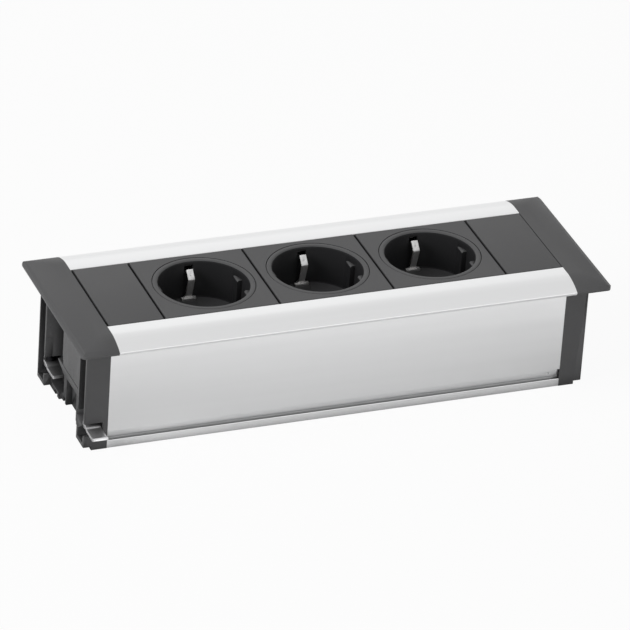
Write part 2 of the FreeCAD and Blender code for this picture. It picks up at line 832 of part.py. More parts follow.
def end_cap():
    """Left flange plate that clips onto the end body and covers the screw heads."""
    seam = along_end(0)
    end = along_end(cap_reach)
    plate = prism_x(crown_corners(half_depth) + crown_corners(-half_depth)[::-1], end, seam)
    crowned = [(seam, flange_bottom, 0), (seam, top, 0)] + crown_corners(end)
    plate = plate.common(prism_y(crowned, -half_depth, half_depth))
    outline = [(end, -half_depth, cap_corner_radius), (seam, -half_depth, 0),
               (seam, half_depth, 0), (end, half_depth, cap_corner_radius)]
    plate = plate.common(prism_z(outline, 0, top + overrun))
    tools = []
    pocket_top = flange_bottom + cap_pocket_depth
    for side in (-1, 1):
        tools.append(end_box((slot_floor, end_thickness - slot_lip), (side * slot_inner, side * slot_outer),
                             (flange_bottom - overrun, pocket_top)))
        hollow = (side * (half_body + cap_hollow_wall), side * (half_depth - cap_hollow_inset))
        tools.append(end_box((cap_hollow_wall, cap_reach - cap_hollow_wall), hollow,
                             (flange_bottom - overrun, flange_bottom + core_rise / 2)))
    plate = plate.cut(tools)
    pegs = []
    for place in peg_places:
        foot = vector(along_end(end_thickness / 2), place, flange_bottom - peg_length)
        pegs.append(rod(peg_radius, foot, vector(foot.x, foot.y, flange_bottom + overrun)))
    return fused([plate] + pegs)


def claw_outline():
    """Side view of a claw: upturned root, hub, joggle and arm, as reach and height."""
    arm = claw_height - claw_joggle
    tip = claw_reach - claw_tip_back
    middle_line = [(-claw_hook_back - claw_hook_lean, claw_height + claw_hook_height),
                   (-claw_hook_back, claw_height), (claw_hub_reach, claw_height),
                   (claw_hub_reach + claw_joggle_run, arm), (tip - claw_tip_run, arm),
                   (tip, arm + claw_tip_rise)]
    return strip_outline(middle_line, claw_thickness, claw_bend_radius)


def claw(side, heading):
    """Sheet-steel clamping claw on its screw; heading is -1 or 1 along Y."""
    axis = claw_axis(side)
    half = claw_width / 2
    corners = [(axis.y + heading * reach, height, radius) for reach, height, radius in claw_outline()]
    strip = prism_x(corners, axis.x - half, axis.x + half)
    hub = rod(half, axis, axis + vector(0, 0, top))
    ahead = axis.y + heading * (claw_reach + overrun)
    forward = box((axis.x - half, axis.x + half), (axis.y, ahead), (0, top))
    strip = strip.common(hub.fuse(forward))
    boss = rod(claw_boss_radius, axis + vector(0, 0, claw_height - claw_boss_height),
               axis + vector(0, 0, claw_height))
    bore = rod(clamp_screw_radius + thread_clearance / 2, axis, axis + vector(0, 0, top))
    return fused([strip, boss]).cut(bore)


def clamp_screw(side):
    """Long screw from its head under the cap down through the claw."""
    axis = claw_axis(side)
    seat = axis + vector(0, 0, clamp_head_seat)
    shank = rod(clamp_screw_radius, axis + vector(0, 0, clamp_tip_height), seat)
    head_top = seat + vector(0, 0, clamp_head_height)
    head = rod(clamp_head_radius, seat, head_top)
    rim = [edge for edge in head.Edges if edge.BoundBox.ZMin > head_top.z - 1e-6]
    head = head.makeChamfer(clamp_head_height / 5, rim)
    return fused([shank, head]).cut(cross_recess(head_top, vector(0, 0, 1)))


def build():
    """Every node by name."""
    near_profile = profile()
    left_body = end_body()
    left_cap = end_cap()
    left_screws = end_screws()
    side_blank = moved(blank(), (sockets_half + half_length) / 2)
    nodes = {
        "front_profile": near_profile, "rear_profile": turned(near_profile),
        "left_end_body": left_body, "right_end_body": turned(left_body),
        "left_end_cap": left_cap, "right_end_cap": turned(left_cap),
        "left_end_screws": left_screws, "right_end_screws": turned(left_screws),
        "left_blank": turned(side_blank), "right_blank": side_blank,
        "bottom_cover": bottom_cover(),
        "live_busbar": busbar(1), "neutral_busbar": busbar(-1), "earth_busbar": earth_busbar(),
        "inlet_housing": inlet_housing(), "inlet_pins": inlet_pins(),
        "live_wire": arched_wire(inlet_pin_spacing, bar_offset),
        "neutral_wire": arched_wire(0, -bar_offset),
        "earth_wire": earth_wire()}
    socket_parts = {"socket_frame": socket_frame(), "socket_cup": socket_cup(),
                    "earth_strap": earth_strap(), "socket_base": socket_base()}
    for number, place in enumerate(socket_places, 1):
        for name, shape in socket_parts.items():
            nodes[f"{name}_{number}"] = moved(shape, place)
    left_claws = {"near": (claw(-1, -1), clamp_screw(-1)), "far": (claw(1, -1), clamp_screw(1))}
    opposite = {"near": "far", "far": "near"}
    for place, (arm, screw) in left_claws.items():
        nodes[f"claw_left_{place}"] = arm
        nodes[f"clamp_screw_left_{place}"] = screw
        nodes[f"claw_right_{opposite[place]}"] = turned(arm)
        nodes[f"clamp_screw_right_{opposite[place]}"] = turned(screw)
    return nodes


def main():
    os.makedirs("parts", exist_ok=True)
    for name, shape in build().items():
        if not shape.isValid():
            print("not valid:", name)
        shape.exportStep(f"parts/{name}.step")
        print(name, len(shape.Solids), round(shape.Volume, 1))


main()
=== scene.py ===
"""Looks of an in-desk power module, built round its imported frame.

The aluminium profiles, end caps, blanks, socket cups, earth clips, claws and clamp screws are modelled here.
The end bodies are copies of their frame meshes with a web joined on. The other pieces keep their meshes.
Every surface gets a procedural finish. All sizes are in metres, in the frame's axes: +X along the module, +Z
up, -Y towards the near long side, with the feet on Z = 0.
"""

import json
import logging
import math
from collections.abc import Callable, Iterator, Sequence
from contextlib import contextmanager
from dataclasses import dataclass, field
from enum import Enum
from functools import lru_cache

import bmesh
import bpy
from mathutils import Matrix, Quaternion, Vector


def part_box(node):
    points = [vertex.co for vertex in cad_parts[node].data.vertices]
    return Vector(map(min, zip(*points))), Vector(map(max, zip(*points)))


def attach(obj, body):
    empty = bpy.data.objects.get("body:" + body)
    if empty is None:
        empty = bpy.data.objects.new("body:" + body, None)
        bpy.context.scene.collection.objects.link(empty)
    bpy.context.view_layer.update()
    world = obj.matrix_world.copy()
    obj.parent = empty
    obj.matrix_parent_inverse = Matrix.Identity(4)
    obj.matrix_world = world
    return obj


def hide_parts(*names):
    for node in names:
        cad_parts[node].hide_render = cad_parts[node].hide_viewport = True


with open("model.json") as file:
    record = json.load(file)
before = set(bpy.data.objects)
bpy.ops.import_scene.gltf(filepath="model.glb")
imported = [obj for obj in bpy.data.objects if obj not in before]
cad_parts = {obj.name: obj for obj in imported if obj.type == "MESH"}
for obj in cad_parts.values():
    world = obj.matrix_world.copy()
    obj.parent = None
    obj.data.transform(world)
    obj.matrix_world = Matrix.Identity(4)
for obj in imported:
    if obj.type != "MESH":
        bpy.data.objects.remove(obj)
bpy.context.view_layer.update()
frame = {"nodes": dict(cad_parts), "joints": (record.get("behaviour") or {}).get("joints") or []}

log = logging.getLogger("power_module")

Piece = bpy.types.Object
Node = bpy.types.Node
Socket = bpy.types.NodeSocket
Colour = tuple[float, float, float]
Corner = tuple[float, float, float]
Point = Sequence[float]
Test = Callable[[Vector], bool]

QUARTER_TURN = math.pi / 2
HALF_TURN = math.pi
FULL_TURN = 2 * math.pi

# How close two places are to count as one, and how far a cutting tool reaches past what it cuts.
TINY = 2e-5
PAST = 0.001

HOUSING = "housing"


class Kind(Enum):
    """What a selection in edit mode is made of."""

    VERTS = "VERT"
    EDGES = "EDGE"
    FACES = "FACE"


class Along(Enum):
    """Axis that a round bar lies along, as the turn of an upright one."""

    X = (0.0, QUARTER_TURN, 0.0)
    Y = (QUARTER_TURN, 0.0, 0.0)
    Z = (0.0, 0.0, 0.0)


class Side(Enum):
    """Long side of the module, by the sign of its Y."""

    NEAR = -1
    FAR = 1


class End(Enum):
    """End of the module, by the sign of its X."""

    LEFT = -1
    RIGHT = 1


# Sizes that the frame gives


def corners_of(node: str, digits: int = 7) -> tuple[Corner, Corner]:
    """Lowest and highest corner of a frame node.

    Args:
        node: the frame node's name.
        digits: decimal places kept, by default a tenth of a micron.

    Returns:
        The two corners.
    """
    low, high = (tuple(round(part, digits) for part in corner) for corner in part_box(node))
    return low, high


@dataclass(frozen=True)
class FrameSizes:
    """Sizes and places that the modelled pieces take from the frame."""

    top: float
    half_depth: float
    profile_end: float
    body_end: float
    body_side: float
    body_top: float
    cap_end: float
    blank_start: float
    blank_side: float
    socket_places: tuple[float, ...]
    claw_axis: tuple[float, float]
    screw_tip: float
    screw_top: float

    @classmethod
    def measured(cls) -> "FrameSizes":
        """Measure the frame.

        Returns:
            The sizes of the loaded frame.
        """
        profile_low, profile_high = corners_of("front_profile")
        body = corners_of("right_end_body")[1]
        blank_low, blank_high = corners_of("right_blank")
        screw_low, screw_high = corners_of("clamp_screw_right_far")
        sockets = [corners_of(name) for name in sorted(frame["nodes"]) if name.startswith("socket_frame_")]
        swing = next(joint for joint in frame["joints"] if joint["name"] == "right_far_claw_swing")
        return cls(top=profile_high[2], half_depth=-profile_low[1], profile_end=profile_high[0],
                   body_end=body[0], body_side=body[1], body_top=body[2],
                   cap_end=corners_of("right_end_cap")[1][0],
                   blank_start=blank_low[0], blank_side=blank_high[1],
                   socket_places=tuple((low[0] + high[0]) / 2 for low, high in sockets),
                   claw_axis=tuple(swing["pos_m"][:2]),
                   screw_tip=screw_low[2], screw_top=screw_high[2])


SIZES = FrameSizes.measured()


# Modelling steps


def deselect_all() -> None:
    """Deselect every object."""
    bpy.ops.object.select_all(action="DESELECT")


def take(piece: Piece) -> None:
    """Make one object the only selected one and the active one.

    Args:
        piece: the object that is taken.
    """
    deselect_all()
    piece.select_set(True)
    bpy.context.view_layer.objects.active = piece


@contextmanager
def editing(piece: Piece) -> Iterator[None]:
    """Edit one object's mesh for as long as the block lasts.

    Args:
        piece: the object whose mesh is edited.
    """
    take(piece)
    bpy.ops.object.mode_set(mode="EDIT")
    try:
        yield
    finally:
        bpy.ops.object.mode_set(mode="OBJECT")


def pick(piece: Piece, kind: Kind, test: Test) -> None:
    """Select, in edit mode, the parts of a mesh whose middle passes a test.

    Args:
        piece: the object in edit mode.
        kind: vertices, edges or faces.
        test: says of a middle point, in the frame's axes, whether it is taken.
    """
    bpy.ops.mesh.select_mode(type=kind.value)
    bpy.ops.mesh.select_all(action="DESELECT")
    mesh = bmesh.from_edit_mesh(piece.data)
    parts = {Kind.VERTS: mesh.verts, Kind.EDGES: mesh.edges, Kind.FACES: mesh.faces}[kind]
    for part in parts:
        if kind is Kind.VERTS:
            middle = part.co
        else:
            middle = sum((vert.co for vert in part.verts), Vector()) / len(part.verts)
        if test(piece.matrix_world @ middle):
            part.select_set(True)
    mesh.select_flush_mode()
    bmesh.update_edit_mesh(piece.data)


def settle(piece: Piece) -> Piece:
    """Move a piece's place into its mesh, so that its object sits at the origin.

    Args:
        piece: the object that is settled.

    Returns:
        The same object.
    """
    take(piece)
    bpy.ops.object.transform_apply(location=True, rotation=True, scale=True)
    return piece


def named(piece: Piece, name: str) -> Piece:
    """Give a piece and its mesh the same name.

    Args:
        piece: the object that is named.
        name: its new name.

    Returns:
        The same object.
    """
    piece.name = name
    piece.data.name = name
    return piece


def fresh(name: str) -> Piece:
    """Name the primitive that was just added and settle it."""
    return settle(named(bpy.context.active_object, name))


def applied(piece: Piece, kind: str, **settings: object) -> Piece:
    """Add a modifier with its settings and apply it.

    Args:
        piece: the object that is changed.
        kind: the modifier's type, such as "BEVEL".
        settings: the modifier's values by name.

    Returns:
        The same object.
    """
    take(piece)
    modifier = piece.modifiers.new(kind.lower(), kind)
    for key, value in settings.items():
        setattr(modifier, key, value)
    bpy.ops.object.modifier_apply(modifier=modifier.name)
    return piece


def tidy(piece: Piece, distance: float = 1e-6) -> Piece:
    """Merge doubled vertices and turn every face outwards.

    Args:
        piece: the object that is mended.
        distance: how close vertices are to be merged.

    Returns:
        The same object.
    """
    with editing(piece):
        bpy.ops.mesh.select_all(action="SELECT")
        bpy.ops.mesh.remove_doubles(threshold=distance)
        bpy.ops.mesh.normals_make_consistent(inside=False)
    return piece


def smoothed(piece: Piece, angle: float = 32) -> Piece:
    """Shade a piece smooth except across sharp edges.

    Args:
        piece: the object that is shaded.
        angle: smallest turn, in degrees, that stays sharp.

    Returns:
        The same object.
    """
    take(piece)
    bpy.ops.object.shade_smooth_by_angle(angle=math.radians(angle))
    return piece


def softened(piece: Piece, width: float, segments: int = 2, angle: float = 40) -> Piece:
    """Round every edge sharper than an angle, then shade the piece smooth.

    Args:
        piece: the object that is rounded.
        width: how far the rounding reaches from each edge.
        segments: faces across each rounding.
        angle: smallest turn, in degrees, that is rounded.

    Returns:
        The same object.
    """
    applied(piece, "BEVEL", width=width, segments=segments, limit_method="ANGLE",
            angle_limit=math.radians(angle), harden_normals=False, use_clamp_overlap=True)
    return smoothed(piece)


def block(name: str, start: Point, stop: Point) -> Piece:
    """Box between two opposite corners.

    Args:
        name: the new object's name.
        start: one corner.
        stop: the opposite corner.

    Returns:
        The box.
    """
    deselect_all()
    low, high = Vector(map(min, start, stop)), Vector(map(max, start, stop))
    bpy.ops.mesh.primitive_cube_add(size=1, location=(low + high) / 2)
    bpy.context.active_object.dimensions = high - low
    return fresh(name)


def rod(name: str, radius: float, middle: Point, length: float, along: Along = Along.Z,
        steps: int = 48) -> Piece:
    """Round bar about a middle point.

    Args:
        name: the new object's name.
        radius: the bar's radius.
        middle: the middle of its axis.
        length: from end to end.
        along: the axis it lies along.
        steps: faces round it.

    Returns:
        The bar.
    """
    deselect_all()
    bpy.ops.mesh.primitive_cylinder_add(vertices=steps, radius=radius, depth=length, location=middle,
                                        rotation=along.value)
    return fresh(name)


def drum(name: str, radius: float, foot: Point, height: float, steps: int = 48) -> Piece:
    """Upright round bar that stands on a point."""
    return rod(name, radius, Vector(foot) + Vector((0, 0, height / 2)), height, steps=steps)


def cut(piece: Piece, tools: Sequence[Piece], operation: str = "DIFFERENCE") -> Piece:
    """Cut tools out of a piece, or join or intersect them, and remove the tools.

    Args:
        piece: the object that is changed.
        tools: the objects that change it, in order.
        operation: "DIFFERENCE", "UNION" or "INTERSECT".

    Returns:
        The same object.
    """
    for tool in tools:
        applied(piece, "BOOLEAN", object=tool, operation=operation, solver="EXACT")
        bpy.data.objects.remove(tool)
    return piece


def traced(name: str, points: Sequence[Point], seed: float = 0.001) -> Piece:
    """Open chain of edges through points, drawn by extruding one vertex.

    Args:
        name: the new object's name.
        points: the chain's points in order.
        seed: side of the small plane that is merged into the first vertex.

    Returns:
        The object that holds the chain.
    """
    deselect_all()
    bpy.ops.mesh.primitive_plane_add(size=seed, location=points[0])
    piece = fresh(name)
    with editing(piece):
        bpy.ops.mesh.select_mode(type=Kind.VERTS.value)
        bpy.ops.mesh.select_all(action="SELECT")
        bpy.ops.mesh.merge(type="CENTER")
        for before, after in zip(points, points[1:]):
            step = Vector(after) - Vector(before)
            bpy.ops.mesh.extrude_region_move(TRANSFORM_OT_translate={"value": step})
    return piece


def prism(name: str, corners: Sequence[Corner], place: Callable[[float, float], Point], step: Point,
          segments: int = 6, radius_step: float = 0.001) -> Piece:
    """Solid from a flat outline with rounded corners, drawn out along a step.

    Args:
        name: the new object's name.
        corners: (a, b, radius) of each corner in order.
        place: turns a and b into a point.
        step: how far and which way the outline is drawn out.
        segments: fewest edges along a rounded corner.
        radius_step: a corner has more edges than its radius has steps of this size.

    Returns:
        The closed piece.
    """
    points = [Vector(place(a, b)) for a, b, _ in corners]
    piece = traced(name, points)
    with editing(piece):
        bpy.ops.mesh.select_all(action="SELECT")
        bpy.ops.mesh.edge_face_add()
        for index, (_, _, radius) in enumerate(corners):
            if radius <= 0:
                continue
            here = points[index]
            back = (points[index - 1] - here).normalized()
            ahead = (points[(index + 1) % len(points)] - here).normalized()
            reach = radius / math.tan(back.angle(ahead) / 2)
            pick(piece, Kind.VERTS, lambda point: (point - here).length < TINY)
            across = max(segments, int(radius / radius_step) + 1)
            bpy.ops.mesh.bevel(offset=reach, segments=across, affect="VERTICES")
        bpy.ops.mesh.select_all(action="SELECT")
        bpy.ops.mesh.extrude_region_move(TRANSFORM_OT_translate={"value": step})
    return tidy(piece)


def round_folds(sheet: Piece, folds: Sequence[Vector], reach: float, steps: int = 4) -> None:
    """Round, in edit mode, the folds of a sheet that was drawn out along X.

    Args:
        sheet: the object in edit mode.
        folds: a point of each fold.
        reach: how far the rounding reaches from a fold.
        steps: faces across each rounding.
    """
    pick(sheet, Kind.EDGES, lambda point: any(
        abs(point.y - fold.y) < TINY and abs(point.z - fold.z) < TINY for fold in folds))
    bpy.ops.mesh.bevel(offset=reach, segments=steps, affect="EDGES")


def thickened(sheet: Piece, thickness: float) -> Piece:
    """Give a sheet its thickness, half of it to each side."""
    applied(sheet, "SOLIDIFY", thickness=thickness, offset=0, use_even_offset=True)
    return tidy(sheet)


def spun(name: str, outline: Sequence[tuple[float, float]], centre: Point, steps: int) -> Piece:
    """Solid of revolution about an upright axis.

    Args:
        name: the new object's name.
        outline: (radius, height) of each point of the section, both ends on the axis.
        centre: a point on the axis.
        steps: faces round the axis.

    Returns:
        The closed piece.
    """
    piece = traced(name, [Vector(centre) + Vector((radius, 0, height)) for radius, height in outline])
    with editing(piece):
        bpy.ops.mesh.select_all(action="SELECT")
        bpy.ops.mesh.spin(steps=steps, angle=FULL_TURN, center=centre, axis=(0, 0, 1))
    return tidy(piece)


def copied(piece: Piece, name: str, shift: Point = (0, 0, 0)) -> Piece:
    """Copy of a piece with its own mesh, moved by a shift.

    Args:
        piece: the object that is copied.
        name: the copy's name.
        shift: how far the copy is moved.

    Returns:
        The copy.
    """
    take(piece)
    bpy.ops.object.duplicate()
    twin = named(bpy.context.active_object, name)
    bpy.ops.transform.translate(value=shift)
    return settle(twin)


def turned(piece: Piece, name: str) -> Piece:
    """Copy of a piece turned half round about the module's middle.

    Args:
        piece: the object that is copied.
        name: the copy's name.

    Returns:
        The copy.
    """
    twin = copied(piece, name)
    bpy.ops.transform.rotate(value=HALF_TURN, orient_axis="Z", center_override=(0, 0, 0))
    return settle(twin)


# Shader nodes


# Numbers of a Mix node's two colour inputs and of its colour output.
MIX_LOW, MIX_HIGH, MIX_RESULT = 6, 7, 2


def opaque(colour: Colour) -> tuple[float, float, float, float]:
    """Colour with full alpha, as a node's input takes it."""
    return (*colour, 1.0)


@dataclass
class Graph:
    """Short way to place and link nodes in one node tree."""

    tree: bpy.types.NodeTree

    @classmethod
    def emptied(cls, owner: bpy.types.Material | bpy.types.World) -> "Graph":
        """Graph of a material or world, without its first nodes.

        Args:
            owner: the material or world.

        Returns:
            Its empty graph.
        """
        owner.use_nodes = True
        owner.node_tree.nodes.clear()
        return cls(owner.node_tree)

    def node(self, kind: str, feeds: dict[str | int, object] | None = None, **settings: object) -> Node:
        """Add a node.

        Args:
            kind: the node's type.
            feeds: an output socket or a plain value for each input, by its name or number.
            settings: the node's own properties.

        Returns:
            The new node.
        """
        node = self.tree.nodes.new(kind)
        for key, value in settings.items():
            setattr(node, key, value)
        for key, value in (feeds or {}).items():
            if isinstance(value, Socket):
                self.tree.links.new(value, node.inputs[key])
            else:
                node.inputs[key].default_value = value
        return node

    def group(self, tree: bpy.types.NodeTree, feeds: dict[str | int, object]) -> Node:
        """Node that places a shared group with this material's values."""
        return self.node("ShaderNodeGroup", feeds, node_tree=tree)

    def math(self, operation: str, first: object, second: object) -> Socket:
        """Result of a math node on two numbers or sockets."""
        return self.node("ShaderNodeMath", {0: first, 1: second}, operation=operation).outputs[0]

    def vector_math(self, operation: str, first: object, second: object = (0, 0, 0)) -> Socket:
        """Result of a vector math node.

        Args:
            operation: the node's operation.
            first: the first vector or socket.
            second: the second one, where the operation takes two.

        Returns:
            The vector, or the number where the operation gives one.
        """
        node = self.node("ShaderNodeVectorMath", {0: first, 1: second}, operation=operation)
        return node.outputs["Value" if operation in ("DOT_PRODUCT", "LENGTH") else "Vector"]

    def noise(self, place: Socket, scale: object, detail: float, roughness: float = 0.5) -> Socket:
        """Value of a noise pattern, from 0 to 1.

        Args:
            place: where the pattern is read.
            scale: its scale, a number or a socket.
            detail: how many finer layers it has.
            roughness: how strong the finer layers are.

        Returns:
            The pattern's socket.
        """
        feeds = {"Vector": place, "Scale": scale, "Detail": detail, "Roughness": roughness}
        return self.node("ShaderNodeTexNoise", feeds).outputs["Fac"]

    def stretched(self, value: Socket, low: float, high: float, start: float, end: float) -> Socket:
        """Value mapped from one span onto another.

        Args:
            value: what is mapped.
            low: the result at the span's start.
            high: the result at the span's end.
            start: where the value's span starts.
            end: where it ends.

        Returns:
            The result's socket.
        """
        feeds = {"Value": value, "From Min": start, "From Max": end, "To Min": low, "To Max": high}
        return self.node("ShaderNodeMapRange", feeds).outputs["Result"]

    def tinted(self, share: Socket, low: object, high: object) -> Socket:
        """Colour between two, each four numbers or a socket, by a share from 0 to 1."""
        feeds = {"Factor": share, MIX_LOW: low, MIX_HIGH: high}
        return self.node("ShaderNodeMix", feeds, data_type="RGBA").outputs[MIX_RESULT]

    def mixed(self, share: Socket, first: Node, second: Node) -> Socket:
        """Mix of two shaders by a share from 0 to 1."""
        feeds = {0: share, 1: first.outputs[0], 2: second.outputs[0]}
        return self.node("ShaderNodeMixShader", feeds).outputs[0]


def group_with(name: str, inputs: dict[str, float | None],
               outputs: Sequence[str]) -> tuple[Graph, bpy.types.bpy_prop_collection]:
    """Empty node group with named sockets.

    Args:
        name: the group's name.
        inputs: default number of each input, or None for a vector.
        outputs: name of each output, all of them numbers.

    Returns:
        The group's graph, and what is fed into the group by name.
    """
    tree = bpy.data.node_groups.new(name, "ShaderNodeTree")
    for label, default in inputs.items():
        kind = "NodeSocketVector" if default is None else "NodeSocketFloat"
        socket = tree.interface.new_socket(name=label, in_out="INPUT", socket_type=kind)
        if default is not None:
            socket.default_value = default
    for label in outputs:
        tree.interface.new_socket(name=label, in_out="OUTPUT", socket_type="NodeSocketFloat")
    graph = Graph(tree)
    return graph, graph.node("NodeGroupInput").outputs


@lru_cache(maxsize=None)
def grain_group() -> bpy.types.NodeTree:
    """Spark-eroded grain of a moulded surface, with slow cloudy patches.

    Returns:
        The node group.
    """
    graph, given = group_with("moulded_grain", {"Place": None, "Size": 4200.0, "Patch": 38.0},
                              ("Height", "Patches"))
    fine = graph.noise(given["Place"], given["Size"], detail=3.0, roughness=0.6)
    coarse = graph.noise(given["Place"], given["Patch"], detail=2.0)
    graph.node("NodeGroupOutput", {"Height": fine, "Patches": coarse})
    return graph.tree


@lru_cache(maxsize=None)
def draw_group() -> bpy.types.NodeTree:
    """Fine lines and broad streaks that drawing or rolling leaves along X.

    Returns:
        The node group.
    """
    graph, given = group_with("drawn_lines", {"Place": None, "Along": 9.0, "Across": 5200.0},
                              ("Height", "Streaks"))
    fine_scale = graph.node("ShaderNodeCombineXYZ", {"X": given["Along"], "Y": given["Across"],
                                                     "Z": given["Across"]})
    broad_scale = (3.0, 160.0, 160.0)
    lines = graph.noise(graph.vector_math("MULTIPLY", given["Place"], fine_scale.outputs[0]), 1.0, detail=4.0,
                        roughness=0.55)
    streaks = graph.noise(graph.vector_math("MULTIPLY", given["Place"], broad_scale), 1.0, detail=3.0)
    graph.node("NodeGroupOutput", {"Height": lines, "Streaks": streaks})
    return graph.tree


@lru_cache(maxsize=None)
def edge_group() -> bpy.types.NodeTree:
    """Mask of the edges, where handling rubs a surface brighter.

    Returns:
        The node group.
    """
    graph, given = group_with("edge_rub", {"Place": None, "Reach": 0.0003, "Break": 900.0}, ("Mask",))
    rounded = graph.node("ShaderNodeBevel", {"Radius": given["Reach"]}, samples=4)
    plain = graph.node("ShaderNodeNewGeometry")
    facing = graph.vector_math("DOT_PRODUCT", rounded.outputs["Normal"], plain.outputs["True Normal"])
    near = graph.stretched(facing, low=1.0, high=0.0, start=0.8, end=0.995)
    patches = graph.noise(given["Place"], given["Break"], detail=2.0)
    broken = graph.stretched(patches, low=0.3, high=1.0, start=0.35, end=0.65)
    graph.node("NodeGroupOutput", {"Mask": graph.math("MULTIPLY", near, broken)})
    return graph.tree


@lru_cache(maxsize=None)
def painted_shade_group() -> bpy.types.NodeTree:
    """Mask of grooves and inner corners, where little light reaches, for shade painted into the colour.

    Returns:
        The node group.
    """
    graph, given = group_with("hollow_shade", {"Reach": 0.003}, ("Mask",))
    light = graph.node("ShaderNodeAmbientOcclusion", {"Distance": given["Reach"]}, samples=12)
    mask = graph.stretched(light.outputs["AO"], low=1.0, high=0.0, start=0.15, end=0.95)
    graph.node("NodeGroupOutput", {"Mask": mask})
    return graph.tree


# Finishes


@dataclass(frozen=True)
class Finish:
    """A surface finish. Depth, edge and reach are lengths, and the other values are shares."""

    name: str
    colour: Colour
    roughness: float = 0.5
    roughness_spread: float = 0.04
    metallic: float = 0.0
    specular: float = 0.5
    grain: float = 4200.0
    depth: float = 0.00006
    bump: float = 0.5
    spread: float = 0.06
    patch_span: tuple[float, float] = (0.3, 0.7)
    edge: float = 0.00025
    rub: float = 0.0
    rub_gain: float = 1.6
    rub_lift: float = 0.01
    rub_polish: float = 0.15
    # The next three values paint shade into the colour of grooves, slots and inner corners: its share, the
    # reach of the occlusion and how dark it goes.
    hollow: float = 0.0
    hollow_reach: float = 0.003
    painted_shade_dark: float = 0.08

    def varied(self, graph: Graph, place: Socket) -> tuple[Socket, Socket]:
        """Height and slow variation of the surface, each from 0 to 1.

        Args:
            graph: the material's graph.
            place: the Object coordinates.

        Returns:
            The height socket and the variation socket.
        """
        grain = graph.group(grain_group(), {"Place": place, "Size": self.grain})
        return grain.outputs["Height"], grain.outputs["Patches"]

    def rubbed(self, graph: Graph, place: Socket, tint: Socket, rough: Socket) -> tuple[Socket, Socket]:
        """Colour and roughness with the edges rubbed brighter and smoother.

        Args:
            graph: the material's graph.
            place: the Object coordinates.
            tint: the colour before rubbing.
            rough: the roughness before rubbing.

        Returns:
            The new colour and roughness sockets.
        """
        mask = graph.math("MULTIPLY", graph.group(edge_group(), {"Place": place}).outputs["Mask"], self.rub)
        bright = tuple(min(1.0, part * self.rub_gain + self.rub_lift) for part in self.colour)
        smoother = graph.math("SUBTRACT", rough, graph.math("MULTIPLY", mask, self.rub_polish))
        return graph.tinted(mask, tint, opaque(bright)), smoother

    def shaded(self, graph: Graph, tint: Socket) -> Socket:
        """Colour with painted shade, darker in narrow grooves and corners.

        Args:
            graph: the material's graph.
            tint: the colour before shading.

        Returns:
            The new colour socket.
        """
        mask = graph.group(painted_shade_group(), {"Reach": self.hollow_reach}).outputs["Mask"]
        dark = tuple(part * self.painted_shade_dark for part in self.colour)
        return graph.tinted(graph.math("MULTIPLY", mask, self.hollow), tint, opaque(dark))

    def build(self) -> bpy.types.Material:
        """Make the material: variation, edge rub, painted shade in hollows, grain and rounded edges in one
        shader.

        Returns:
            The new material.
        """
        material = bpy.data.materials.new(self.name)
        graph = Graph.emptied(material)
        place = graph.node("ShaderNodeTexCoord").outputs["Object"]
        height, patches = self.varied(graph, place)
        light = tuple(min(1.0, part * (1 + self.spread)) for part in self.colour)
        dark = tuple(part * (1 - self.spread) for part in self.colour)
        tint = graph.tinted(graph.stretched(patches, 0.0, 1.0, *self.patch_span), opaque(dark), opaque(light))
        rough = graph.stretched(patches, self.roughness - self.roughness_spread,
                                self.roughness + self.roughness_spread, *self.patch_span)
        if self.rub:
            tint, rough = self.rubbed(graph, place, tint, rough)
        # Painted shade: occlusion darkens the colour in grooves and corners.
        if self.hollow:
            tint = self.shaded(graph, tint)
        rounded = graph.node("ShaderNodeBevel", {"Radius": self.edge}, samples=6)
        bump = graph.node("ShaderNodeBump", {"Strength": self.bump, "Distance": self.depth, "Height": height,
                                             "Normal": rounded.outputs["Normal"]})
        shader = graph.node("ShaderNodeBsdfPrincipled", {
            "Base Color": tint, "Roughness": rough, "Normal": bump.outputs["Normal"],
            "Metallic": self.metallic, "Specular IOR Level": self.specular})
        graph.node("ShaderNodeOutputMaterial", {"Surface": shader.outputs[0]})
        return material


@dataclass(frozen=True)
class DrawnMetal(Finish):
    """Metal with the fine lines of drawing along X."""

    metallic: float = 1.0
    depth: float = 0.00002

    def varied(self, graph: Graph, place: Socket) -> tuple[Socket, Socket]:
        """Height and streaks of the drawn lines."""
        lines = graph.group(draw_group(), {"Place": place})
        return lines.outputs["Height"], lines.outputs["Streaks"]


@dataclass(frozen=True)
class PlatedMetal(Finish):
    """Bright plating over sheet metal."""

    metallic: float = 1.0
    depth: float = 0.00003
    grain: float = 1500.0


@lru_cache(maxsize=None)
def material_of(finish: Finish) -> bpy.types.Material:
    """Material of a finish, made once and shared."""
    return finish.build()


# The hollow values paint shade into the colour: in the profiles' foot groove, in the end pieces' slots and
# pockets, in the seams between modules and round the claws' roots.
ALUMINIUM = DrawnMetal("satin_anodised_aluminium", (0.90, 0.903, 0.907), roughness=0.34, spread=0.015,
                       depth=0.000012, hollow=0.62, hollow_reach=0.0035)
END_PLASTIC = Finish("end_plastic", (0.084, 0.084, 0.086), depth=0.00008, rub=0.35, hollow=0.9,
                     hollow_reach=0.007)
MODULE_PLASTIC = Finish("module_plastic", (0.084, 0.084, 0.086), depth=0.00008, rub=0.2, hollow=0.9,
                        hollow_reach=0.0012)
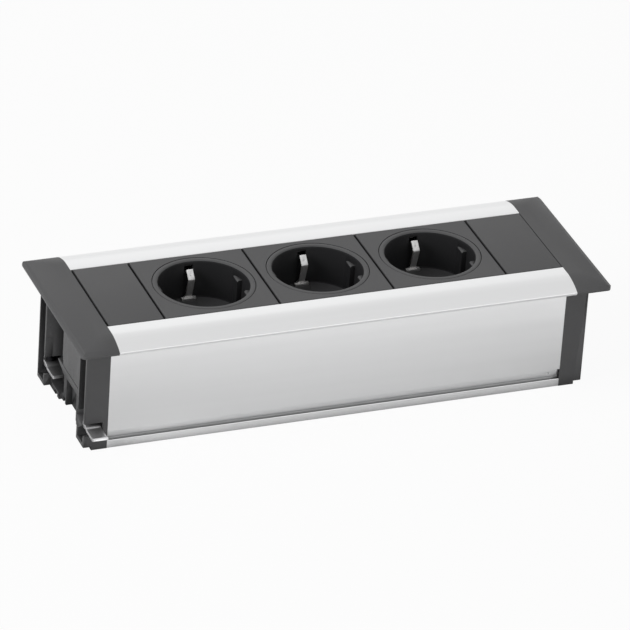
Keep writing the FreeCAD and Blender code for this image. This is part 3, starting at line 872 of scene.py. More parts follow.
# Darker copies of the module plastic for the socket cups' walls and floor: painted shade, lighter on the
# floor.
CUP_PAINTED_SHADE = Finish("cup_plastic", (0.016, 0.016, 0.017), specular=0.22, grain=5200.0, depth=0.00004)
CUP_FLOOR_PAINTED_SHADE = Finish("cup_floor_painted_shade", (0.062, 0.062, 0.064), roughness=0.55, grain=5200.0, depth=0.00005)
BASE_PLASTIC = Finish("base_plastic", (0.05, 0.05, 0.05), roughness=0.55)
COVER_PLASTIC = Finish("cover_plastic", (0.05, 0.05, 0.052), roughness=0.48, grain=2600.0, depth=0.0001,
                       rub=0.3)
CLIP_STEEL = PlatedMetal("nickel_plated_clip", (0.56, 0.555, 0.55), roughness=0.34, metallic=0.72)
# Near-white copy of the clip's plating for the tongues: a painted highlight.
TONGUE_PAINTED_HIGHLIGHT = PlatedMetal("clip_tongue_painted_highlight", (0.99, 0.99, 0.985), roughness=0.3, metallic=0.0,
                          specular=1.0, spread=0.0)
PIN_METAL = PlatedMetal("nickel_plated_pin", (0.76, 0.75, 0.73), roughness=0.24)
CLAW_STEEL = PlatedMetal("zinc_plated_claw", (0.78, 0.78, 0.79), roughness=0.32, metallic=0.85, rub=0.3,
                         hollow=0.95, hollow_reach=0.02)
DARK_SCREW = PlatedMetal("black_zinc_screw", (0.035, 0.035, 0.038), roughness=0.38, rub=0.5)
BRASS = PlatedMetal("stamped_brass", (0.75, 0.56, 0.26), roughness=0.3)
LIVE_WIRE = Finish("live_insulation", (0.16, 0.06, 0.025), roughness=0.35, depth=0.00002)
NEUTRAL_WIRE = Finish("neutral_insulation", (0.02, 0.09, 0.36), roughness=0.35, depth=0.00002)
EARTH_WIRE = Finish("earth_insulation", (0.22, 0.42, 0.03), roughness=0.35, depth=0.00002)


def dress(piece: Piece, finish: Finish) -> Piece:
    """Give a piece one finish all over.

    Args:
        piece: the object that is dressed.
        finish: its surface finish.

    Returns:
        The same object.
    """
    piece.data.materials.clear()
    piece.data.materials.append(material_of(finish))
    return piece


def dress_where(piece: Piece, finish: Finish, inside: Test) -> None:
    """Give another finish to some faces of a dressed piece.

    Args:
        piece: the object that is dressed.
        finish: the faces' finish.
        inside: says of a face's middle whether the face gets it.
    """
    piece.data.materials.append(material_of(finish))
    with editing(piece):
        pick(piece, Kind.FACES, inside)
        piece.active_material_index = len(piece.data.materials) - 1
        bpy.ops.object.material_slot_assign()


def stand_in(piece: Piece, body: str, node: str) -> None:
    """Let a modelled and dressed piece stand for a frame node.

    Args:
        piece: the finished mesh object.
        body: the body that it moves with.
        node: the frame node that it replaces.
    """
    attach(piece, body)
    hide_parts(node)
    log.info("%s stands for %s with %d faces", piece.name, node, len(piece.data.polygons))


def set_at_sockets(first: Piece, name: str, node: str) -> None:
    """Copy a dressed piece to each socket, let the copies stand for frame nodes and remove the first.

    Args:
        first: the piece on the module's middle.
        name: how the copies' names start, before the socket's number.
        node: how the frame nodes' names start.
    """
    for number, place in enumerate(SIZES.socket_places, 1):
        stand_in(copied(first, f"{name}_{number}", (place, 0, 0)), HOUSING, f"{node}_{number}")
    bpy.data.objects.remove(first)


# Sub-assemblies


@dataclass
class Flange:
    """Section that the profiles and the end caps share at their outer edge."""

    top: float = SIZES.top
    half_depth: float = SIZES.half_depth
    bottom: float = SIZES.body_top
    crown_width: float = 0.0058
    crown_radius: float = 0.022
    nose_drop: float = 0.0033
    nose_radius: float = 0.00025
    nose_lean: float = 0.00045
    edge: float = 0.0003

    def corners(self, outer: float) -> list[Corner]:
        """Corners from the crown round the nose to the underside.

        Args:
            outer: signed reach of the nose from the module's middle.

        Returns:
            The reach, height and radius of each corner.
        """
        start = math.copysign(abs(outer) - self.crown_width, outer)
        foot = math.copysign(abs(outer) - self.nose_lean, outer)
        return [(start, self.top, self.crown_radius),
                (outer, self.top - self.nose_drop, self.nose_radius),
                (foot, self.bottom, self.nose_radius)]


@dataclass
class Profiles:
    """The two aluminium extrusions, each a flange, a wall and a foot rail in one."""

    flange: Flange = field(default_factory=Flange)
    half_length: float = SIZES.profile_end
    half_body: float = SIZES.body_side
    half_bay: float = 0.0248
    wall: float = 0.0016
    lip: float = 0.0016
    lip_rise: float = 0.0009
    core_rise: float = 0.0025
    core_inset: float = 0.0334
    plate: float = 0.003
    ledge: float = 0.0014
    ledge_reach: float = 0.0019
    groove_depth: float = 0.0013
    groove_top: float = 0.0045
    rail_height: float = 0.0039
    rail_depth: float = 0.0055
    gutter: float = 0.001
    cove: float = 0.0035
    slot_depth: float = 0.0024
    slot_bottom: float = 0.0012
    slot_top: float = 0.0034
    slope_rise: float = 0.0012
    port_radius: float = 0.0032
    port_bore: float = 0.00173
    port_mouth: float = 0.0018
    port_sink: float = 0.00015
    port_heights: tuple[float, float] = (0.018, 0.042)
    pilot_radius: float = 0.0007
    pilot_inset: float = 0.0055
    pilot_height: float = 0.0068
    relief_width: float = 0.0012
    relief_rise: float = 0.004
    sharp: float = 20

    def section(self) -> list[Corner]:
        """Near profile's outline.

        Returns:
            The Y, Z and radius of each corner.
        """
        edge = self.flange.edge
        bottom = self.flange.bottom
        inner = self.half_body - self.wall
        lip = self.flange.half_depth - self.lip
        foot = self.half_body - self.rail_depth
        slot = foot + self.slot_depth
        shoulder = self.slot_top + self.ledge
        ledge_top = self.flange.top - self.plate
        ledge_bottom = ledge_top - self.ledge
        groove = self.half_body - self.groove_depth
        return [(-self.half_bay, self.flange.top, edge)] + self.flange.corners(-self.flange.half_depth) + [
            (-lip, bottom, 0),
            (-lip + edge / 2, bottom + self.lip_rise, edge),
            (-self.core_inset, bottom + self.core_rise, edge),
            (-self.core_inset, bottom, 0),
            (-self.half_body, bottom, 0),
            (-self.half_body, self.groove_top + self.cove, self.cove),
            (-groove, self.groove_top, edge),
            (-groove, self.rail_height - self.gutter, 0),
            (-self.half_body, self.rail_height, edge / 2),
            (-self.half_body, 0, edge),
            (-foot, 0, edge),
            (-foot, self.slot_bottom, 0),
            (-slot, self.slot_bottom, 0),
            (-slot, self.slot_top, 0),
            (-foot, self.slot_top, 0),
            (-foot, shoulder, 0),
            (-slot, shoulder, edge),
            (-slot, shoulder + self.cove, edge),
            (-inner, shoulder + self.cove + self.slope_rise, edge),
            (-inner, ledge_bottom, edge),
            (-self.half_bay + self.ledge_reach, ledge_bottom, 0),
            (-self.half_bay + self.ledge_reach, ledge_top, 0),
            (-self.half_bay, ledge_top, 0)]

    def port(self, height: float) -> tuple[Piece, list[Piece]]:
        """Screw port along the wall.

        Args:
            height: Z of its axis.

        Returns:
            The barrel that is joined on, and the bore and the mouth that are cut out.
        """
        offset = -(self.half_body - self.wall + self.port_sink - self.port_radius)
        middle = (0, offset, height)
        past = self.half_length + PAST
        half_mouth = self.port_mouth / 2
        barrel = rod("barrel", self.port_radius, middle, 2 * self.half_length, Along.X, steps=32)
        bore = rod("bore_tool", self.port_bore, middle, 2 * past, Along.X, steps=32)
        mouth = block("mouth_tool", (-past, offset, height - half_mouth),
                      (past, offset + self.port_radius + PAST, height + half_mouth))
        return barrel, [bore, mouth]

    def build(self) -> None:
        """Model the near profile, turn a copy of it for the far side and dress both."""
        near = prism("profile_near", self.section(), lambda y, z: (-self.half_length, y, z),
                     (2 * self.half_length, 0, 0))
        for height in self.port_heights:
            barrel, hollow = self.port(height)
            cut(near, [barrel], "UNION")
            cut(near, hollow)
        side, end = -self.half_body, self.half_length
        relief = block("relief_tool", (end - self.relief_width, side - PAST, self.groove_top),
                       (end + PAST, side + self.wall, self.groove_top + self.relief_rise))
        pilot_middle = (end - self.pilot_inset, side, self.pilot_height)
        pilot = rod("pilot_tool", self.pilot_radius, pilot_middle, self.wall, Along.Y, steps=20)
        cut(near, [relief, pilot])
        dress(smoothed(near, self.sharp), ALUMINIUM)
        far = turned(near, "profile_far")
        stand_in(near, HOUSING, "front_profile")
        stand_in(far, HOUSING, "rear_profile")


@dataclass
class EndCaps:
    """Dark flange plates that close the ends of the flange."""

    flange: Flange = field(default_factory=Flange)
    start: float = SIZES.profile_end
    end: float = SIZES.cap_end
    corner: float = 0.0035
    corner_steps: int = 10
    tool_height: float = 0.01
    pocket: tuple[float, float] = (0.0233, 0.0303)
    pocket_span: tuple[float, float] = (0.0023, 0.0096)
    pocket_depth: float = 0.0024
    round_over: float = 0.00025
    sharp: float = 38

    def build(self) -> None:
        """Model the left cap, turn a copy of it for the right end and dress both."""
        half, low = self.flange.half_depth, self.flange.bottom
        across = self.flange.corners(half) + self.flange.corners(-half)[::-1]
        cap = prism("end_cap_left", across, lambda y, z: (-self.end, y, z), (self.end - self.start, 0, 0))
        along = [(-self.start, low, 0), (-self.start, self.flange.top, 0)] + self.flange.corners(-self.end)
        crown = prism("crown_tool", along, lambda x, z: (x, -half, z), (0, 2 * half, 0))
        corners = [(-self.end, -half, self.corner), (-self.start, -half, 0),
                   (-self.start, half, 0), (-self.end, half, self.corner)]
        plan = prism("plan_tool", corners, lambda x, y: (x, y, low - PAST), (0, 0, self.tool_height),
                     self.corner_steps)
        cut(cap, [crown, plan], "INTERSECT")
        right, left = (-self.start - place for place in self.pocket_span)
        inner, outer = self.pocket
        cut(cap, [block("pocket_tool", (right, side.value * inner, low - PAST),
                        (left, side.value * outer, low + self.pocket_depth)) for side in Side])
        dress(softened(tidy(cap), self.round_over, angle=self.sharp), END_PLASTIC)
        twin = turned(cap, "end_cap_right")
        stand_in(cap, HOUSING, "left_end_cap")
        stand_in(twin, HOUSING, "right_end_cap")


@dataclass
class EndBodies:
    """Moulded end pieces, from merged copies of the frame meshes, with a sloped web below the ledge."""

    outer: float = SIZES.body_end
    ledge: float = 0.0256
    groove: float = 0.0013
    web_foot: float = 0.0162
    web_span: tuple[float, float] = (-0.0215, 0.006)
    web_slope: tuple[float, float] = (0.0002, 0.0031)
    web_round: float = 0.0005
    web_back: float = 0.0079
    merge: float = 2e-5
    sharp: float = 30

    def build(self) -> None:
        """Copy each end body, join its web on and dress it."""
        head = self.ledge - self.groove
        for end in End:
            side = end.name.lower()
            body = tidy(copied(frame["nodes"][f"{side}_end_body"], f"end_piece_{side}"), self.merge)
            upper, lower = (end.value * (self.outer - slope) for slope in self.web_slope)
            back = end.value * (self.outer - self.web_back)
            start, stop = (-end.value * place for place in self.web_span)
            corners = [(upper, head, self.web_round), (lower, self.web_foot, 0), (back, self.web_foot, 0),
                       (back, head, 0)]
            web = prism("web_tool", corners, lambda x, z: (x, start, z), (0, stop - start, 0))
            cut(body, [web], "UNION")
            dress(smoothed(tidy(body, self.merge), self.sharp), END_PLASTIC)
            stand_in(body, HOUSING, f"{side}_end_body")


@dataclass
class Blanks:
    """Two plain half-width modules, pushed towards the right so that the left seam is the wider one."""

    top: float = SIZES.top
    plate: float = 0.003
    half_depth: float = SIZES.blank_side
    inner: float = SIZES.blank_start
    seams: tuple[float, float] = (0.0011, 0.00016)
    end: float = SIZES.profile_end
    rim: float = 0.0003
    rim_steps: int = 3
    skirt_inset: float = 0.0005
    skirt_thickness: float = 0.0014
    skirt_drop: float = 0.0076
    skirt_half: float = 0.021
    hook_half: float = 0.004
    hook_span: tuple[float, float] = (0.0216, 0.0227)
    hook_drop: float = 0.004
    sharp: float = 30

    def build(self) -> None:
        """Model each blank as a plate with end skirts and two tongues, and dress it."""
        seat = self.top - self.plate
        for end, seam in zip(End, self.seams):
            side = end.name.lower()
            near, far = end.value * self.inner, end.value * (self.end - seam)
            plate = block(f"blank_plate_{side}", (near, -self.half_depth, seat),
                          (far, self.half_depth, self.top))
            with editing(plate):
                pick(plate, Kind.EDGES, lambda point: point.z > self.top - TINY)
                bpy.ops.mesh.bevel(offset=self.rim, segments=self.rim_steps, affect="EDGES")
            under = []
            for edge, inward in ((near, end.value), (far, -end.value)):
                start = edge + inward * self.skirt_inset
                under.append(block("skirt", (start, -self.skirt_half, seat - self.skirt_drop),
                                   (start + inward * self.skirt_thickness, self.skirt_half, seat + self.rim)))
            middle = (near + far) / 2
            for hook in Side:
                low, high = (hook.value * place for place in self.hook_span)
                under.append(block("tongue", (middle - self.hook_half, low, seat - self.hook_drop),
                                   (middle + self.hook_half, high, seat + self.rim)))
            cut(plate, under, "UNION")
            dress(smoothed(tidy(plate), self.sharp), MODULE_PLASTIC)
            stand_in(plate, HOUSING, f"{side}_blank")


@dataclass
class SocketCups:
    """Round recesses of the earthed sockets, each a cup with ribs, pin holes, slots and clip windows.

    The rim's steps go inwards and down from its outer top corner, and those of the lead-in outwards and down
    from the mouth.
    """

    top: float = SIZES.top
    radius: float = 0.0195
    mouth: float = 0.02
    depth: float = 0.0175
    wall: float = 0.0018
    floor: float = 0.0022
    fillet: float = 0.0006
    fillet_share: float = 0.3
    rim: float = 0.0221
    rim_thickness: float = 0.0018
    rim_steps: tuple[tuple[float, float], ...] = ((0.0, 0.0003), (0.0001, 0.00009), (0.0003, 0.0))
    lead_steps: tuple[tuple[float, float], ...] = ((0.0003, 0.0), (0.00005, 0.00012), (-0.00018, 0.00038))
    faces_round: int = 128
    pin_offset: float = 0.0095
    pin_radius: float = 0.0026
    pin_lead: float = 0.0005
    pin_lift: float = 0.00001
    pin_faces: int = 40
    key_reach: float = 0.0027
    key_width: float = 0.0054
    key_gap: float = 0.0086
    key_drop: float = 0.0036
    key_slope: float = 0.0006
    key_sink: float = 0.0001
    key_round: float = 0.00015
    slot_half: float = 0.0034
    slot_span: tuple[float, float] = (0.0171, 0.0185)
    window_half: float = 0.0019
    window_start: float = 0.0168
    window_drop: float = 0.0021
    window_height: float = 0.0034
    merge: float = 2e-6
    sharp: float = 30
    # Faces within these limits keep the frame's plastic; the rest of the cup gets painted shade.
    pale_rim: float = 0.00045
    pale_slope: float = 1.1
    pale_inset: float = 0.0001

    def outline(self) -> list[tuple[float, float]]:
        """Half section of the cup, from the axis below the floor round to the axis above it.

        Returns:
            The radius and height of each point.
        """
        lead = self.mouth - self.radius
        floor = self.top - self.depth
        bottom = floor - self.floor
        under_rim = self.top - self.rim_thickness
        outer = self.radius + self.wall
        part = self.fillet_share * self.fillet
        return [(0, bottom), (outer, bottom), (outer, under_rim), (self.rim, under_rim),
                *[(self.rim - inward, self.top - down) for inward, down in self.rim_steps],
                *[(self.mouth + outward, self.top - down) for outward, down in self.lead_steps],
                (self.radius, self.top - 2 * lead), (self.radius, floor + self.fillet),
                (self.radius - part, floor + part), (self.radius - self.fillet, floor), (0, floor)]

    def key(self, side_x: int, side_y: int) -> Piece:
        """Upright guide rib on the wall, sloped at its top.

        Args:
            side_x: sign of its X.
            side_y: sign of its Y.

        Returns:
            The rib.
        """
        near = side_y * self.key_gap / 2
        far = near + side_y * self.key_width
        foot = self.top - self.depth - self.key_sink
        head = self.top - self.key_drop
        inner = side_x * (self.radius - self.key_reach)
        outer = side_x * (self.radius + self.wall / 2)
        rib = block("key", (inner, near, foot), (outer, far, head))
        with editing(rib):
            pick(rib, Kind.EDGES, lambda point: abs(point.x - inner) < TINY and abs(point.z - head) < TINY)
            bpy.ops.mesh.bevel(offset=self.key_slope, segments=1, affect="EDGES")
        return softened(rib, self.key_round, angle=self.sharp)

    def openings(self) -> list[Piece]:
        """Tools for what is cut from the cup.

        Returns:
            A pin hole, a slot in the floor and a window in the wall for each side.
        """
        floor = self.top - self.depth
        bottom = floor - self.floor - PAST
        window = self.top - self.window_drop
        wide = self.pin_radius + self.pin_lead
        hole = [(0, bottom), (self.pin_radius, bottom), (self.pin_radius, floor - self.pin_lead),
                (wide, floor + self.pin_lift), (wide, floor + PAST), (0, floor + PAST)]
        tools = []
        for side in (-1, 1):
            near, far = (side * place for place in self.slot_span)
            tools += [spun("pin_tool", hole, (side * self.pin_offset, 0, 0), self.pin_faces),
                      block("slot_tool", (-self.slot_half, near, bottom),
                            (self.slot_half, far, floor + PAST)),
                      block("window_tool",
                            (-self.window_half, side * self.window_start, window - self.window_height),
                            (self.window_half, side * (self.radius + self.wall + PAST), window))]
        return tools

    def model(self) -> Piece:
        """Make the cup on the module's middle and dress it: its walls and floor in darker copies of the
        frame's plastic, painted shade, and its rim and rib slopes in that plastic.

        Returns:
            The dressed cup.
        """
        cup = spun("socket_cup", self.outline(), (0, 0, 0), self.faces_round)
        cut(cup, [self.key(x, y) for x in (-1, 1) for y in (-1, 1)], "UNION")
        cut(cup, self.openings())
        # Painted shade over the whole cup, then the true plastic on the rim and rib slopes and a lighter
        # painted shade on the floor.
        dress(smoothed(tidy(cup, self.merge), self.sharp), CUP_PAINTED_SHADE)
        floor = self.top - self.depth
        slopes = self.top - self.key_drop - self.pale_slope * self.key_slope
        inside = self.radius - self.pale_inset
        dress_where(cup, MODULE_PLASTIC, lambda point: point.z > self.top - self.pale_rim or (
            math.hypot(point.x, point.y) < inside and point.z > slopes))
        dress_where(cup, CUP_FLOOR_PAINTED_SHADE, lambda point: abs(point.z - floor) < TINY)
        return cup

    def build(self) -> None:
        """Model one cup, then copy it to each socket."""
        set_at_sockets(self.model(), "socket_recess", "socket_cup")


@dataclass
class EarthClips:
    """Bent strips, each with the two earth clips of one socket."""

    top: float = SIZES.top
    thickness: float = 0.0008
    width: float = 0.0064
    tongue: float = 0.0028
    foot: float = 0.0178
    bend: float = 0.0148
    tip: float = 0.0182
    bend_drop: float = 0.0066
    tip_drop: float = 0.0034
    floor: float = 0.0381
    level: float = 0.0355
    shoulder: float = 0.001
    fold: float = 0.0009
    dimple: float = 0.00045
    dimple_lift: float = 0.55
    tab_reach: float = 0.0014
    round_over: float = 0.00012
    sharp: float = 35

    def middle_line(self) -> list[Vector]:
        """Middle of the strip, from the near tip under the floor to the far one.

        Returns:
            The line's points.
        """
        half = [(self.foot, self.level), (self.foot, self.floor + self.shoulder),
                (self.bend, self.top - self.bend_drop), (self.tip, self.top - self.tip_drop)]
        return [Vector((0, -y, z)) for y, z in half[::-1]] + [Vector((0, y, z)) for y, z in half]

    def folded(self) -> Piece:
        """Sheet with its narrow tongues and rounded folds, without thickness.

        Returns:
            The sheet.
        """
        line = self.middle_line()
        half = self.width / 2
        strip = traced("earth_clips", [point + Vector((-half, 0, 0)) for point in line])
        shoulder = self.floor + self.shoulder
        places = (-half, -self.tongue / 2, self.tongue / 2, half)
        with editing(strip):
            for last, after in zip(places, places[1:]):
                pick(strip, Kind.EDGES, lambda point: abs(point.x - last) < TINY)
                bpy.ops.mesh.extrude_region_move(TRANSFORM_OT_translate={"value": (after - last, 0, 0)})
            pick(strip, Kind.FACES, lambda point: point.z > shoulder and abs(point.x) > self.tongue / 2)
            bpy.ops.mesh.delete(type="FACE")
            round_folds(strip, line[1:-1], self.fold)
        return strip

    def model(self) -> Piece:
        """Make the strip on the module's middle and dress it, with a near-white painted highlight on the
        tongues.

        Returns:
            The dressed strip.
        """
        strip = thickened(self.folded(), self.thickness)
        half = self.width / 2
        reach = (self.bend + self.tip) / 2 - self.thickness * self.dimple_lift
        drop = (self.bend_drop + self.tip_drop) / 2
        dimples, tabs = [], []
        for side in (-1, 1):
            deselect_all()
            bpy.ops.mesh.primitive_uv_sphere_add(segments=16, ring_count=8, radius=self.dimple,
                                                 location=(0, side * reach, self.top - drop))
            dimples.append(fresh("dimple_tool"))
            tabs.append(block("tab", (-half, side * (self.foot - self.tab_reach), self.floor),
                              (half, side * self.foot, self.floor + self.thickness)))
        cut(strip, dimples)
        cut(strip, tabs, "UNION")
        dress(softened(tidy(strip), self.round_over, angle=self.sharp), CLIP_STEEL)
        # The tongues' upper part gets a painted highlight.
        dress_where(strip, TONGUE_PAINTED_HIGHLIGHT, lambda point: point.z > self.top - self.bend_drop)
        return strip

    def build(self) -> None:
        """Model one strip, then copy it to each socket."""
        set_at_sockets(self.model(), "earth_clips", "earth_strap")


@dataclass
class Claws:
    """Clamping claws and their long screws, one at each corner of the body."""

    axis: tuple[float, float] = SIZES.claw_axis
    height: float = 0.0108
    thickness: float = 0.0013
    width: float = 0.0066
    reach: float = 0.014
    hub: float = 0.003
    joggle: float = 0.0012
    joggle_run: float = 0.0012
    hook_back: float = 0.0024
    hook_lean: float = 0.0002
    hook_height: float = 0.0032
    lip_start: float = 0.0016
    lip_end: float = 0.0004
    lip_rise: float = 0.0009
    fold: float = 0.0007
    tool_height: float = 0.03
    boss_radius: float = 0.003
    boss_height: float = 0.0022
    bore_clearance: float = 0.00004
    round_over: float = 0.00016
    merge: float = 5e-6
    screw_radius: float = 0.0019
    screw_core: float = 0.0016
    screw_steps: int = 20
    pitch: float = 0.0007
    screw_tip: float = SIZES.screw_tip
    screw_top: float = SIZES.screw_top
    core_sink: float = 0.0001
    head_radius: float = 0.0034
    head_height: float = 0.0024
    head_round: float = 0.0005
    recess_reach: float = 0.0019
    recess_half: float = 0.00045
    recess_depth: float = 0.001
    sharp: float = 35

    def foot(self) -> Vector:
        """Point on the left near claw's axis at the feet."""
        return Vector((-self.axis[0], -self.axis[1], 0))

    def arm(self) -> Piece:
        """Left near claw, which points out past the near side.

        Returns:
            The claw, a folded plate with a boss round its screw.
        """
        axis = self.foot()
        half = self.width / 2
        low = self.height - self.joggle
        line = [(-self.hook_back - self.hook_lean, self.height + self.hook_height),
                (-self.hook_back, self.height), (self.hub, self.height), (self.hub + self.joggle_run, low),
                (self.reach - self.lip_start, low), (self.reach - self.lip_end, low + self.lip_rise)]
        points = [axis + Vector((-half, -reach, height)) for reach, height in line]
        claw = traced("claw", points)
        with editing(claw):
            bpy.ops.mesh.select_all(action="SELECT")
            bpy.ops.mesh.extrude_region_move(TRANSFORM_OT_translate={"value": (self.width, 0, 0)})
            round_folds(claw, points[1:-1], self.fold)
        thickened(claw, self.thickness)
        plan = drum("plan_tool", half, axis, self.tool_height)
        ahead = block("ahead_tool", axis + Vector((-half, 0, 0)),
                      axis + Vector((half, -self.reach - 2 * PAST, self.tool_height)))
        cut(plan, [ahead], "UNION")
        cut(claw, [plan], "INTERSECT")
        boss_foot = axis + Vector((0, 0, self.height - self.boss_height))
        cut(claw, [drum("boss", self.boss_radius, boss_foot, self.boss_height)], "UNION")
        cut(claw, [drum("bore_tool", self.screw_radius + self.bore_clearance, axis, self.tool_height)])
        return dress(softened(tidy(claw, self.merge), self.round_over), CLAW_STEEL)

    def screw(self) -> Piece:
        """Left near clamp screw: threaded shank, rounded head and cross recess.

        Returns:
            The screw.
        """
        axis = self.foot()
        tip = axis + Vector((0, 0, self.screw_tip))
        seat = self.screw_top - self.head_height
        length = seat - self.screw_tip
        outline = ((self.screw_core, 0), (self.screw_radius, self.pitch / 2), (self.screw_core, self.pitch))
        thread = traced("clamp_screw", [tip + Vector((radius, 0, rise)) for radius, rise in outline])
        take(thread)
        bpy.context.scene.cursor.location = tip
        bpy.ops.object.origin_set(type="ORIGIN_CURSOR")
        applied(thread, "SCREW", angle=FULL_TURN, screw_offset=self.pitch,
                iterations=int(length / self.pitch) - 1, steps=self.screw_steps,
                render_steps=self.screw_steps, use_merge_vertices=True, merge_threshold=1e-6)
        settle(thread)
        core = drum("core", self.screw_core, tip, length + self.core_sink, self.screw_steps)
        head = drum("head", self.head_radius, axis + Vector((0, 0, seat)), self.head_height)
        softened(head, self.head_round, segments=3)
        low, high = self.screw_top - self.recess_depth, self.screw_top + PAST
        arms = ((self.recess_reach, self.recess_half), (self.recess_half, self.recess_reach))
        cut(head, [block("recess_tool", axis + Vector((-x, -y, low)), axis + Vector((x, y, high)))
                   for x, y in arms])
        take(thread)
        core.select_set(True)
        head.select_set(True)
        bpy.ops.object.join()
        return dress(smoothed(thread, self.sharp), DARK_SCREW)

    def build(self) -> None:
        """Model the left near claw and screw, then place a copy of each at every corner."""
        across = (0, 2 * self.axis[1], 0)
        near = (self.arm(), self.screw())
        far = tuple(copied(part, "clamp_part", across) for part in near)
        corners = {(End.LEFT, Side.NEAR): near, (End.LEFT, Side.FAR): far,
                   (End.RIGHT, Side.FAR): tuple(turned(part, "clamp_part") for part in near),
                   (End.RIGHT, Side.NEAR): tuple(turned(part, "clamp_part") for part in far)}
        for (end, side), (claw, screw) in corners.items():
            corner = f"{end.name}_{side.name}".lower()
            body = f"{corner}_clamp"
            stand_in(named(claw, f"clamp_claw_{corner}"), body, f"claw_{corner}")
            stand_in(named(screw, f"claw_bolt_{corner}"), body, f"clamp_screw_{corner}")


@dataclass
class Housing:
    """Frame nodes that keep their meshes and get a finish, by how their names start."""

    finishes: tuple[tuple[str, Finish], ...] = (
        ("socket_frame_", MODULE_PLASTIC), ("socket_base_", BASE_PLASTIC), ("bottom_cover", COVER_PLASTIC),
        ("inlet_housing", BASE_PLASTIC), ("inlet_pins", PIN_METAL),
        ("left_end_screws", DARK_SCREW), ("right_end_screws", DARK_SCREW),
        ("live_busbar", BRASS), ("neutral_busbar", BRASS), ("earth_busbar", CLIP_STEEL),
        ("live_wire", LIVE_WIRE), ("neutral_wire", NEUTRAL_WIRE), ("earth_wire", EARTH_WIRE))

    def build(self) -> None:
        """Dress every node whose name starts as one of the finishes says."""
        for start, finish in self.finishes:
            for name, node in frame["nodes"].items():
                if name.startswith(start):
                    dress(node, finish)
                    log.info("%s keeps its mesh and gets %s", name, finish.name)


@dataclass
class PowerModule:
    """The whole module."""

    parts: tuple[type, ...] = (Profiles, EndCaps, EndBodies, Blanks, SocketCups, EarthClips, Claws, Housing)

    def build(self) -> None:
        """Build the sub-assemblies in order."""
        for part in self.parts:
            part().build()


# Studio


@dataclass(frozen=True)
class Lamp:
    """Square soft lamp that faces the module."""

    name: str
    place: Corner
    size: float
    power: float
    mirrored: bool = True
    aim: Corner = (0.0, 0.0, 0.03)

    def build(self) -> None:
        """Add the lamp. Metal shows it only where it is mirrored."""
        data = bpy.data.lights.new(self.name, "AREA")
        data.shape = "SQUARE"
        data.size = self.size
        data.energy = self.power
        lamp = bpy.data.objects.new(self.name, data)
        bpy.context.collection.objects.link(lamp)
        lamp.location = self.place
        lamp.rotation_euler = (Vector(self.aim) - Vector(self.place)).to_track_quat("-Z", "Y").to_euler()
        lamp.visible_glossy = self.mirrored


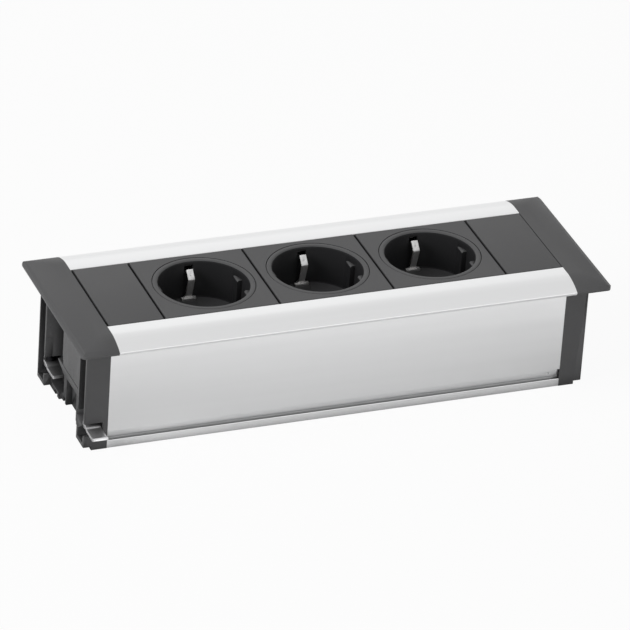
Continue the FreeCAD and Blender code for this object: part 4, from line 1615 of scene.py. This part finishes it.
@dataclass
class Studio:
    """Pale floor, soft lamps, pale world and the camera.

    The camera stands in the direction of azimuth and elevation, in degrees, and looks at the aim height, from
    which aim_right and aim_up shift it. The floor's gloss is the share of white that metal sees in it at each
    distance from the module's foot. Near the foot metal sees the floor's own diffuse shading and shadow, and
    further out white, so the floor in reflections is darker round the module: partly real shade, partly
    painted shade.
    """

    floor_size: float = 8.0
    floor_drop: float = 0.0001
    floor_colour: Colour = (0.88, 0.88, 0.88)
    floor_eye: float = 0.94
    # Shares below 1 near the foot paint shade round the module in what metal mirrors.
    floor_gloss: tuple[tuple[float, float], ...] = ((0.0, 0.0), (0.05, 0.12), (0.095, 1.0), (0.16, 1.0),
                                                    (0.4, 0.9))
    foot: tuple[float, float] = (SIZES.body_end, SIZES.body_side)
    white: float = 1.0
    sky: float = 0.3
    sky_eye: float = 1.0
    sky_gloss: float = 0.68
    azimuth: float = -22.32
    elevation: float = 29.67
    roll: float = -4.0
    distance: float = 2.45
    focal: float = 325.6
    sensor: float = 36.0
    aim_height: float = 0.028
    aim_right: float = 0.0002
    aim_up: float = 0.004
    lamps: tuple[Lamp, ...] = (Lamp("key", (-1.6, -0.2, 0.9), 0.9, 21.0, mirrored=False),
                               Lamp("fill", (0.5, -1.8, 0.8), 1.2, 4.5),
                               Lamp("rear", (0.4, 1.7, 0.9), 1.0, 0.8))

    def seen_white(self, graph: Graph, eye: float, gloss: object) -> Socket:
        """Share of white for rays from the eye, and for rays from gloss or glass.

        Args:
            graph: the floor's or the world's graph.
            eye: share that the camera sees.
            gloss: share that metal and glass see, a number or a socket.

        Returns:
            The share's socket.
        """
        path = graph.node("ShaderNodeLightPath")
        mirrored = graph.math("MAXIMUM", path.outputs["Is Glossy Ray"], path.outputs["Is Transmission Ray"])
        return graph.math("MAXIMUM", graph.math("MULTIPLY", path.outputs["Is Camera Ray"], eye),
                          graph.math("MULTIPLY", mirrored, gloss))

    def away(self, graph: Graph) -> Socket:
        """Share of white in the floor, by the distance from the module's foot; the low share near the foot
        darkens the floor that metal mirrors round the module, painted shade over the floor's real shading.

        Args:
            graph: the floor's graph.

        Returns:
            The share's socket.
        """
        place = graph.vector_math("ABSOLUTE", graph.node("ShaderNodeTexCoord").outputs["Object"])
        beyond = graph.vector_math("MAXIMUM", graph.vector_math("SUBTRACT", place, (*self.foot, 0)))
        reach = self.floor_gloss[-1][0]
        length = graph.math("DIVIDE", graph.vector_math("LENGTH", beyond), reach)
        ramp = graph.node("ShaderNodeValToRGB", {"Fac": length})
        stops = ramp.color_ramp.elements
        for index, (distance, share) in enumerate(self.floor_gloss):
            stop = stops[index] if index < 2 else stops.new(1.0)
            stop.position = distance / reach
            stop.color = (share, share, share, 1)
        return ramp.outputs["Color"]

    def build_floor(self) -> None:
        """Add the pale floor, which reads white but keeps a faint shadow."""
        deselect_all()
        bpy.ops.mesh.primitive_plane_add(size=self.floor_size, location=(0, 0, -self.floor_drop))
        floor = named(bpy.context.active_object, "studio_floor")
        material = bpy.data.materials.new("studio_floor")
        graph = Graph.emptied(material)
        matt = graph.node("ShaderNodeBsdfDiffuse", {"Color": opaque(self.floor_colour)})
        glow = graph.node("ShaderNodeEmission", {"Strength": self.white})
        share = self.seen_white(graph, self.floor_eye, self.away(graph))
        graph.node("ShaderNodeOutputMaterial", {"Surface": graph.mixed(share, matt, glow)})
        floor.data.materials.append(material)

    def build_sky(self) -> None:
        """Set a world that lights softly and is seen white."""
        world = bpy.data.worlds.new("studio_world")
        bpy.context.scene.world = world
        graph = Graph.emptied(world)
        soft, seen = (graph.node("ShaderNodeBackground", {"Color": (1, 1, 1, 1), "Strength": strength})
                      for strength in (self.sky, self.white))
        share = self.seen_white(graph, self.sky_eye, self.sky_gloss)
        graph.node("ShaderNodeOutputWorld", {"Surface": graph.mixed(share, soft, seen)})

    def build_camera(self) -> None:
        """Set the camera at the photograph's angle, with a long lens and no shift."""
        data = bpy.data.cameras.new("camera")
        data.lens = self.focal
        data.sensor_width = self.sensor
        camera = bpy.data.objects.new("camera", data)
        bpy.context.collection.objects.link(camera)
        side, rise = math.radians(self.azimuth), math.radians(self.elevation)
        back = Vector((math.sin(side) * math.cos(rise), -math.cos(side) * math.cos(rise), math.sin(rise)))
        right = Vector((math.cos(side), math.sin(side), 0))
        up = back.cross(right)
        camera.location = (Vector((0, 0, self.aim_height)) + back * self.distance + right * self.aim_right
                           + up * self.aim_up)
        ahead = (-back).to_track_quat("-Z", "Y")
        camera.rotation_mode = "QUATERNION"
        camera.rotation_quaternion = Quaternion(back, math.radians(-self.roll)) @ ahead
        bpy.context.scene.camera = camera

    def build(self) -> None:
        """Set the floor, the world, the lamps, the camera and the plain view."""
        self.build_floor()
        self.build_sky()
        for lamp in self.lamps:
            lamp.build()
        self.build_camera()
        bpy.context.scene.view_settings.view_transform = "Standard"


def main() -> None:
    """Build the module, then the studio round it."""
    logging.basicConfig(level=logging.INFO, format="%(name)s: %(message)s")
    PowerModule().build()
    Studio().build()


if __name__ == "__main__":
    main()
